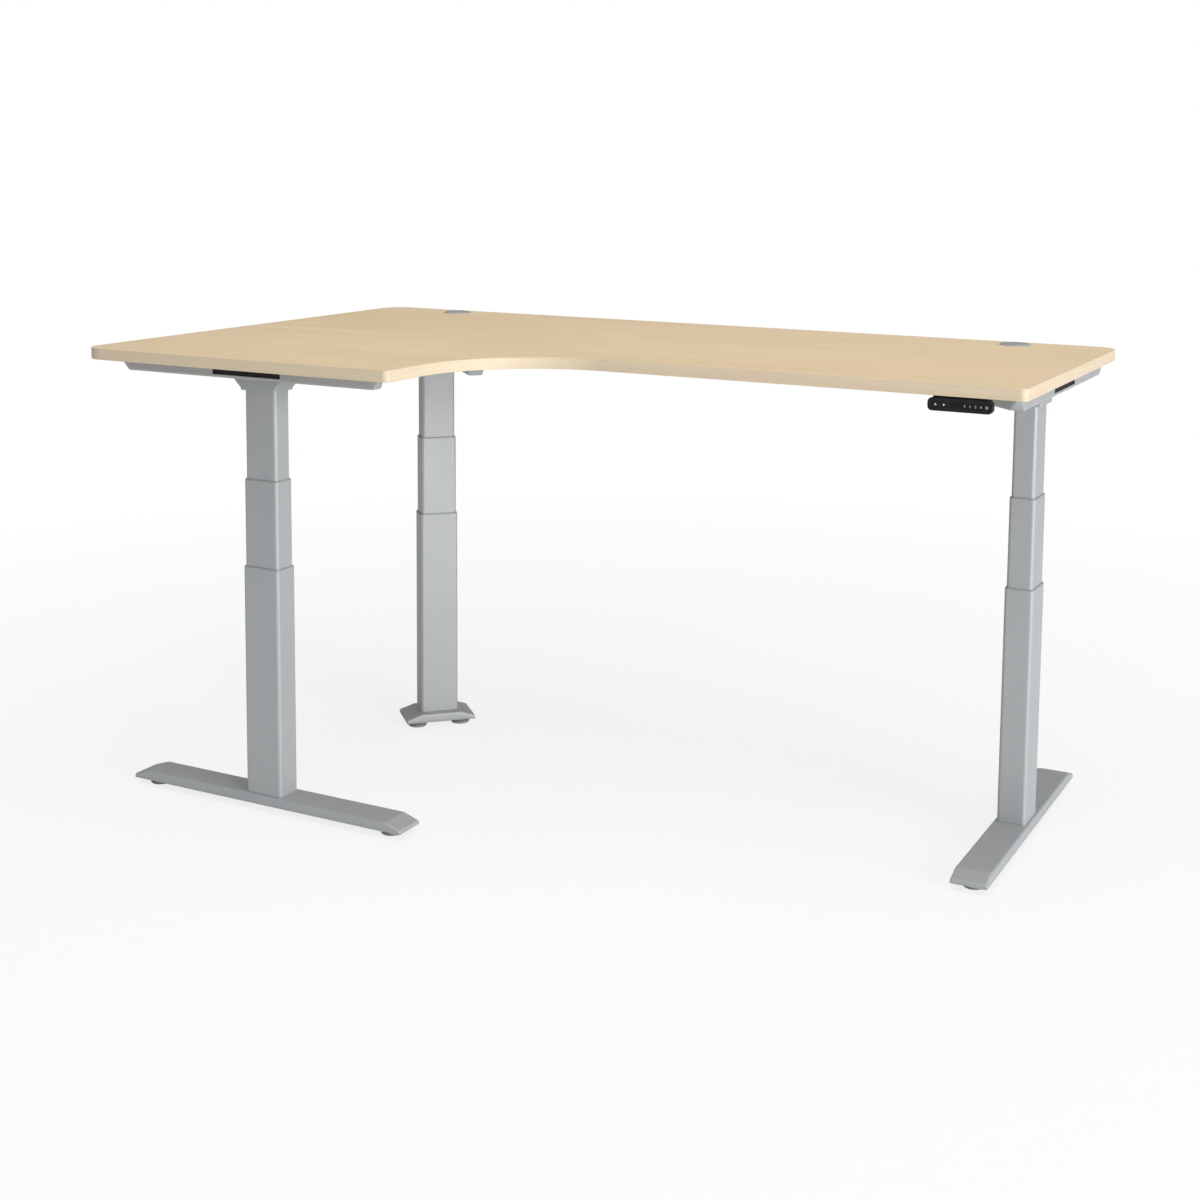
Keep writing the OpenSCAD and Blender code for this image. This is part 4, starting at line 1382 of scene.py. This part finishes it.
@dataclass
class Keypad:
    """The control pad under the front edge: case, fascia, display and seven buttons."""

    finishes: Finishes
    corner: float = 8 * MM
    fascia: float = 1.5 * MM
    wall: float = 2 * MM
    gap: float = 0.3 * MM
    button_corner: float = 3 * MM
    depth: float = 16 * MM
    display: tuple[float, float] = (21 * MM, 11 * MM)
    display_x: float = -7.5 * MM
    plate_size: tuple[float, float] = (100 * MM, 32 * MM)
    plate_thickness: float = 5.5 * MM
    arrow: float = 2.6 * MM
    store_ring: tuple[float, float] = (1.5 * MM, 2.3 * MM)
    keys: tuple[Key, ...] = (
        Key("up_button", -43 * MM, (11 * MM, 11 * MM), Mark.UP),
        Key("down_button", -28 * MM, (11 * MM, 11 * MM), Mark.DOWN),
        Key("preset_1_button", 9 * MM, (8 * MM, 9 * MM), Mark.ONE),
        Key("preset_2_button", 18.5 * MM, (8 * MM, 9 * MM), Mark.TWO),
        Key("preset_3_button", 28 * MM, (8 * MM, 9 * MM), Mark.THREE),
        Key("preset_4_button", 37.5 * MM, (8 * MM, 9 * MM), Mark.FOUR),
        Key("memory_button", 47.8 * MM, (9 * MM, 9 * MM), Mark.STORE),
    )

    @property
    def size(self) -> tuple[float, float]:
        """The fascia's length and height."""
        low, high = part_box("keypad_fascia")
        return high.x - low.x, high.z - low.z

    @property
    def axes(self) -> Matrix:
        """The pad's own axes: X along it, Y up, Z towards the user, with z = 0 at the fascia's face."""
        low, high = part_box("keypad_fascia")
        centre = ((low.x + high.x) / 2, low.y, (low.z + high.z) / 2)
        return Matrix.Translation(centre) @ Matrix.Rotation(np.radians(90), 4, "X")

    def case(self) -> Surface:
        """Returns the case: a cup with rounded back edges, and the mounting plate above it."""
        case_low, case_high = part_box("keypad_case")
        depth = self.depth
        loop = rounded_rectangle(*self.size, self.corner, 10)
        profile = fillet([
            (self.wall, -depth + self.wall, 0), (self.wall, -self.fascia, 0.4 * MM),
            (0, -self.fascia, 0.3 * MM), (0, -depth, 3 * MM), (3 * self.wall, -depth, 0),
        ], closed=False)
        cup = Surface()
        cup.sweep(loop, profile, closed=False)
        cup.cap(loop.inset(self.wall), -depth + self.wall)
        cup.cap(loop.inset(3 * self.wall), -depth)
        made = cup.moved(self.axes)
        middle = (case_low.x + case_high.x) / 2, case_high.y - self.plate_size[1] / 2
        outline = rounded_rectangle(*self.plate_size, 3 * MM).at(*middle)
        made.plate(outline, case_high.z - self.plate_thickness, case_high.z - 0.02 * MM, 0.5 * MM)
        return made

    def face(self) -> Surface:
        """Returns the fascia: a plate with a hole for each button."""
        play, corner = 2 * self.gap, self.button_corner + self.gap
        holes = [rounded_rectangle(k.size[0] + play, k.size[1] + play, corner).at(k.x, 0) for k in self.keys]
        made = Surface()
        made.plate(rounded_rectangle(*self.size, self.corner, 10), -self.fascia, 0, 0.2 * MM, holes)
        return made.moved(self.axes)

    def button(self, key: Key) -> Surface:
        """A key cap with a dished front, rising from a wider foot behind the fascia.

        The front is drawn in rings from its edge to its centre, and dips by dish * (1 - s * s),
        where s is the share of the way out from the centre.

        Args:
            key: The button.

        Returns:
            The button's surface, in place.
        """
        proud, dish = 0.9 * MM, 0.25 * MM
        loop = rounded_rectangle(*key.size, self.button_corner, 8)
        rows = []
        sides = fillet([(0, -3 * MM, 0), (0, proud, 0.45 * MM), (0.8 * MM, proud, 0)], closed=False)
        for inset, z in sides[:-1]:
            rows.append(level(loop.inset(inset), z))
        rim = loop.inset(0.45 * MM)
        for share in np.linspace(0.92, 0.0, 9):
            rows.append(level(rim * share, proud - dish * (1 - share**2)))
        rows.insert(0, level(loop.points * 0, -3 * MM))
        cap = Surface()
        cap.grid(np.stack(rows))
        flange = rounded_rectangle(key.size[0] + 1 * MM, key.size[1] + 1.6 * MM, self.button_corner)
        cap.plate(flange, -3.4 * MM, -1.6 * MM, 0.2 * MM)
        return cap.moved(self.axes @ Matrix.Translation((key.x, 0, 0)))

    def mark(self, key: Key) -> Surface:
        """The light mark on a key: an arrow head, a figure or a ring, as thin raised print.

        Args:
            key: The button.

        Returns:
            The mark's surface, in place.
        """
        low, high = 0.6 * MM, 0.72 * MM
        made = Surface()
        if key.mark in (Mark.UP, Mark.DOWN):
            angles = np.radians((90 if key.mark is Mark.UP else -90) + np.array([0, 120, 240]))
            corners = self.arrow * np.stack([np.cos(angles), np.sin(angles)], axis=1)
            made.prism(fillet([(x, y, 0.4 * MM) for x, y in corners]), low, high)
        elif key.mark is Mark.STORE:
            inner, outer = self.store_ring
            made.revolve(np.array([(inner, low), (outer, low), (outer, high), (inner, high)]), steps=32)
        else:
            made = self.stroke(np.array(FIGURES[key.mark]) * MM, low, high)
        return made.moved(self.axes @ Matrix.Translation((key.x, 0, 0)))

    @staticmethod
    def stroke(path: np.ndarray, low: float, high: float, half: float = 0.3 * MM) -> Surface:
        """A flat bar along each straight stretch of a path, with square ends that overlap at corners.

        Args:
            path: Rows of x, y.
            low: Height of its underside.
            high: Height of its face.
            half: Half its width.

        Returns:
            The bars' surface.
        """
        made = Surface()
        for a, b in zip(path[:-1], path[1:]):
            along = (b - a) / np.linalg.norm(b - a)
            side = np.array([-along[1], along[0]])
            left, right = (along + side) * half, (along - side) * half
            corners = np.array([a - left, b + right, b + left, a - right])
            made.prism(corners, low, high)
        return made

    def build(self) -> None:
        """Builds the case, the fascia, the display and each button with its mark."""
        black, gloss = self.finishes.black, self.finishes.gloss
        Piece("keypad_cup", self.case(), black, "top", Slot.PLASTIC_BLACK, ("keypad_case",)).build()
        Piece("keypad_face", self.face(), gloss, "top", Slot.PLASTIC_BLACK, ("keypad_fascia",)).build()
        glass = Surface()
        glass.plate(rounded_rectangle(*self.display, 1.5 * MM), -0.5 * MM, 0.12 * MM, 0.1 * MM)
        shown = glass.moved(self.axes @ Matrix.Translation((self.display_x, 0, 0)))
        Piece("keypad_display", shown, self.finishes.glass, "top", Slot.PLASTIC_BLACK).build()
        for key in self.keys:
            name = key.name
            Piece(f"{name}_cap", self.button(key), black, name, Slot.PLASTIC_BLACK, (name,)).build()
            Piece(f"{name}_mark", self.mark(key), self.finishes.print_white, name, Slot.PLASTIC_GREY).build()


# The stroke of each figure on the preset keys, in millimetres about the key's centre.
FIGURES = {
    Mark.ONE: [(-0.8, 1.4), (0.2, 2.1), (0.2, -2.1)],
    Mark.TWO: [(-1.1, 1.6), (-0.5, 2.1), (0.6, 2.1), (1.1, 1.5), (1.1, 0.7), (-1.1, -2.1), (1.2, -2.1)],
    Mark.THREE: [
        (-1.1, 2.1), (1.1, 2.1), (0.1, 0.4), (1.1, -0.3),
        (1.1, -1.5), (0.5, -2.1), (-0.6, -2.1), (-1.1, -1.6),
    ],
    Mark.FOUR: [(0.7, -2.1), (0.7, 2.1), (-1.3, -0.8), (1.4, -0.8)],
}


@dataclass
class HiddenWorks:
    """The CAD nodes that keep their own shape: drives, rails, fixings and the control box."""

    finishes: Finishes
    turned_arris: float = 0.3 * MM

    def build(self) -> None:
        """Gives each of these nodes its finish and softened edges."""
        for node in ("main_rails", "return_rails"):
            dress_node(node, self.finishes.paint)
        for node in ("column_bolts", "frame_screws", "nut_posts", "gear_motors"):
            dress_node(node, self.finishes.zinc, self.turned_arris)
        for leg in LEGS:
            for part in ("spindle_carrier", "hollow_spindle", "drive_spindle"):
                dress_node(f"{leg.name}_{part}", self.finishes.bare, self.turned_arris)
        for node in ("slot_inserts", "control_box", "control_box_lid", "power_inlet"):
            dress_node(node, self.finishes.black)
        dress_node("circuit_board", self.finishes.board, 0.0)


# ---- Light and camera ----


@dataclass(frozen=True)
class Lamp:
    """One soft area light, aimed at a point."""

    name: str
    place: tuple[float, float, float]
    aim: tuple[float, float, float]
    size: tuple[float, float]
    power: float

    def build(self) -> None:
        """Adds the light."""
        data = bpy.data.lights.new(self.name, "AREA")
        data.shape = "RECTANGLE"
        data.size, data.size_y = self.size
        data.energy = self.power
        lamp = bpy.data.objects.new(self.name, data)
        lamp.location = self.place
        lamp.rotation_euler = (Vector(self.aim) - Vector(self.place)).to_track_quat("-Z", "Y").to_euler()
        bpy.context.scene.collection.objects.link(lamp)


@dataclass
class Studio:
    """A plain pale floor, soft light from the right and above, and the camera."""

    camera_place: tuple[float, float, float] = (1.649, -3.181, 1.318)
    camera_turn: float = 27.72
    camera_dip: float = 6.42
    camera_roll: float = 0.44
    lens: float = 53.4
    shift: float = -0.2083
    floor_reach: float = 14.0
    floor_near: float = 1.3
    floor_far: float = 3.2
    floor_glow: float = 0.8
    floor_drop: float = 0.2 * MM
    floor_paint: Colour = (0.90, 0.90, 0.90)
    floor_paler: Colour = (0.93, 0.93, 0.93)
    sky: float = 0.38

    def floor(self) -> None:
        """Adds the floor: a disc just under the glides, which fades into the white backdrop.

        To the camera it is part white backdrop, from floor_glow near the desk to all of it at
        floor_far. Everything else sees plain pale paint.
        """
        made, graph, shader = new_material("pale_floor", self.floor_paint)
        grain = graph.noise(graph.place(), 30.0, 4.0, 0.6)
        colour = graph.mix(graph.ramp(grain, 0.3, 0.7), self.floor_paint, self.floor_paler)
        graph.feed(shader, {"Base Color": colour, "Roughness": 0.9, "Specular IOR Level": 0.1})
        far = graph.node("VectorMath", {0: graph.place()}, operation="LENGTH").outputs["Value"]
        fade = graph.ramp(far, self.floor_near, self.floor_far, self.floor_glow, 1.0)
        seen = graph.node("LightPath").outputs["Is Camera Ray"]
        white = graph.node("Emission", {"Color": WHITE, "Strength": 1.0}).outputs[0]
        both = graph.node("MixShader", {0: graph.times(fade, seen), 1: shader.outputs[0], 2: white})
        graph.feed(graph.tree.get_output_node("ALL"), {"Surface": both.outputs[0]})
        disc = Surface()
        disc.cap(circle(self.floor_reach, 96).points, -self.floor_drop)
        disc.object("floor", made, Vector((0, 0, -1)))

    def world(self) -> None:
        """Sets an even, near-white sky."""
        world = bpy.data.worlds.new("studio")
        bpy.context.scene.world = world
        world.use_nodes = True
        graph = Graph(world.node_tree)
        light = graph.node("Background", {"Color": WHITE, "Strength": self.sky}).outputs[0]
        white = graph.node("Background", {"Color": WHITE, "Strength": 1.0}).outputs[0]
        seen = graph.node("LightPath").outputs["Is Camera Ray"]
        both = graph.node("MixShader", {0: seen, 1: light, 2: white})
        graph.node("OutputWorld", {"Surface": both.outputs[0]})

    def camera(self) -> None:
        """Adds the camera and makes it the scene's."""
        data = bpy.data.cameras.new("camera")
        data.lens = self.lens
        data.sensor_width = 36.0
        data.shift_y = self.shift
        data.clip_end = 60.0
        camera = bpy.data.objects.new("camera", data)
        turn = Matrix.Rotation(np.radians(self.camera_turn), 4, "Z")
        dip = Matrix.Rotation(np.radians(90 - self.camera_dip), 4, "X")
        roll = Matrix.Rotation(np.radians(self.camera_roll), 4, "Z")
        camera.matrix_world = Matrix.Translation(self.camera_place) @ turn @ dip @ roll
        bpy.context.scene.collection.objects.link(camera)
        bpy.context.scene.camera = camera

    def build(self) -> None:
        """Builds the floor, the sky, the lamps and the camera."""
        bpy.context.scene.view_settings.view_transform = "Standard"
        self.floor()
        self.world()
        for lamp in (
            Lamp("side_softbox", (8.2, -3.0, 2.0), (0.0, 0.0, 0.4), (5.0, 3.4), 590.0),
            Lamp("overhead", (0.4, -0.6, 4.4), (0.0, 0.0, 0.9), (4.4, 4.4), 92.0),
        ):
            lamp.build()
        self.camera()
        LOG.info("studio ready")


def main() -> None:
    """Builds the studio and then every sub-assembly, in order."""
    logging.basicConfig(level=logging.INFO, format="%(name)s: %(message)s")
    Studio().build()
    finishes = Finishes()
    for assembly in (Desktop, Grommets, Columns, Feet, UnderFrame, Keypad, HiddenWorks):
        LOG.info("building %s", assembly.__name__)
        assembly(finishes).build()


if __name__ == "__main__":
    main()
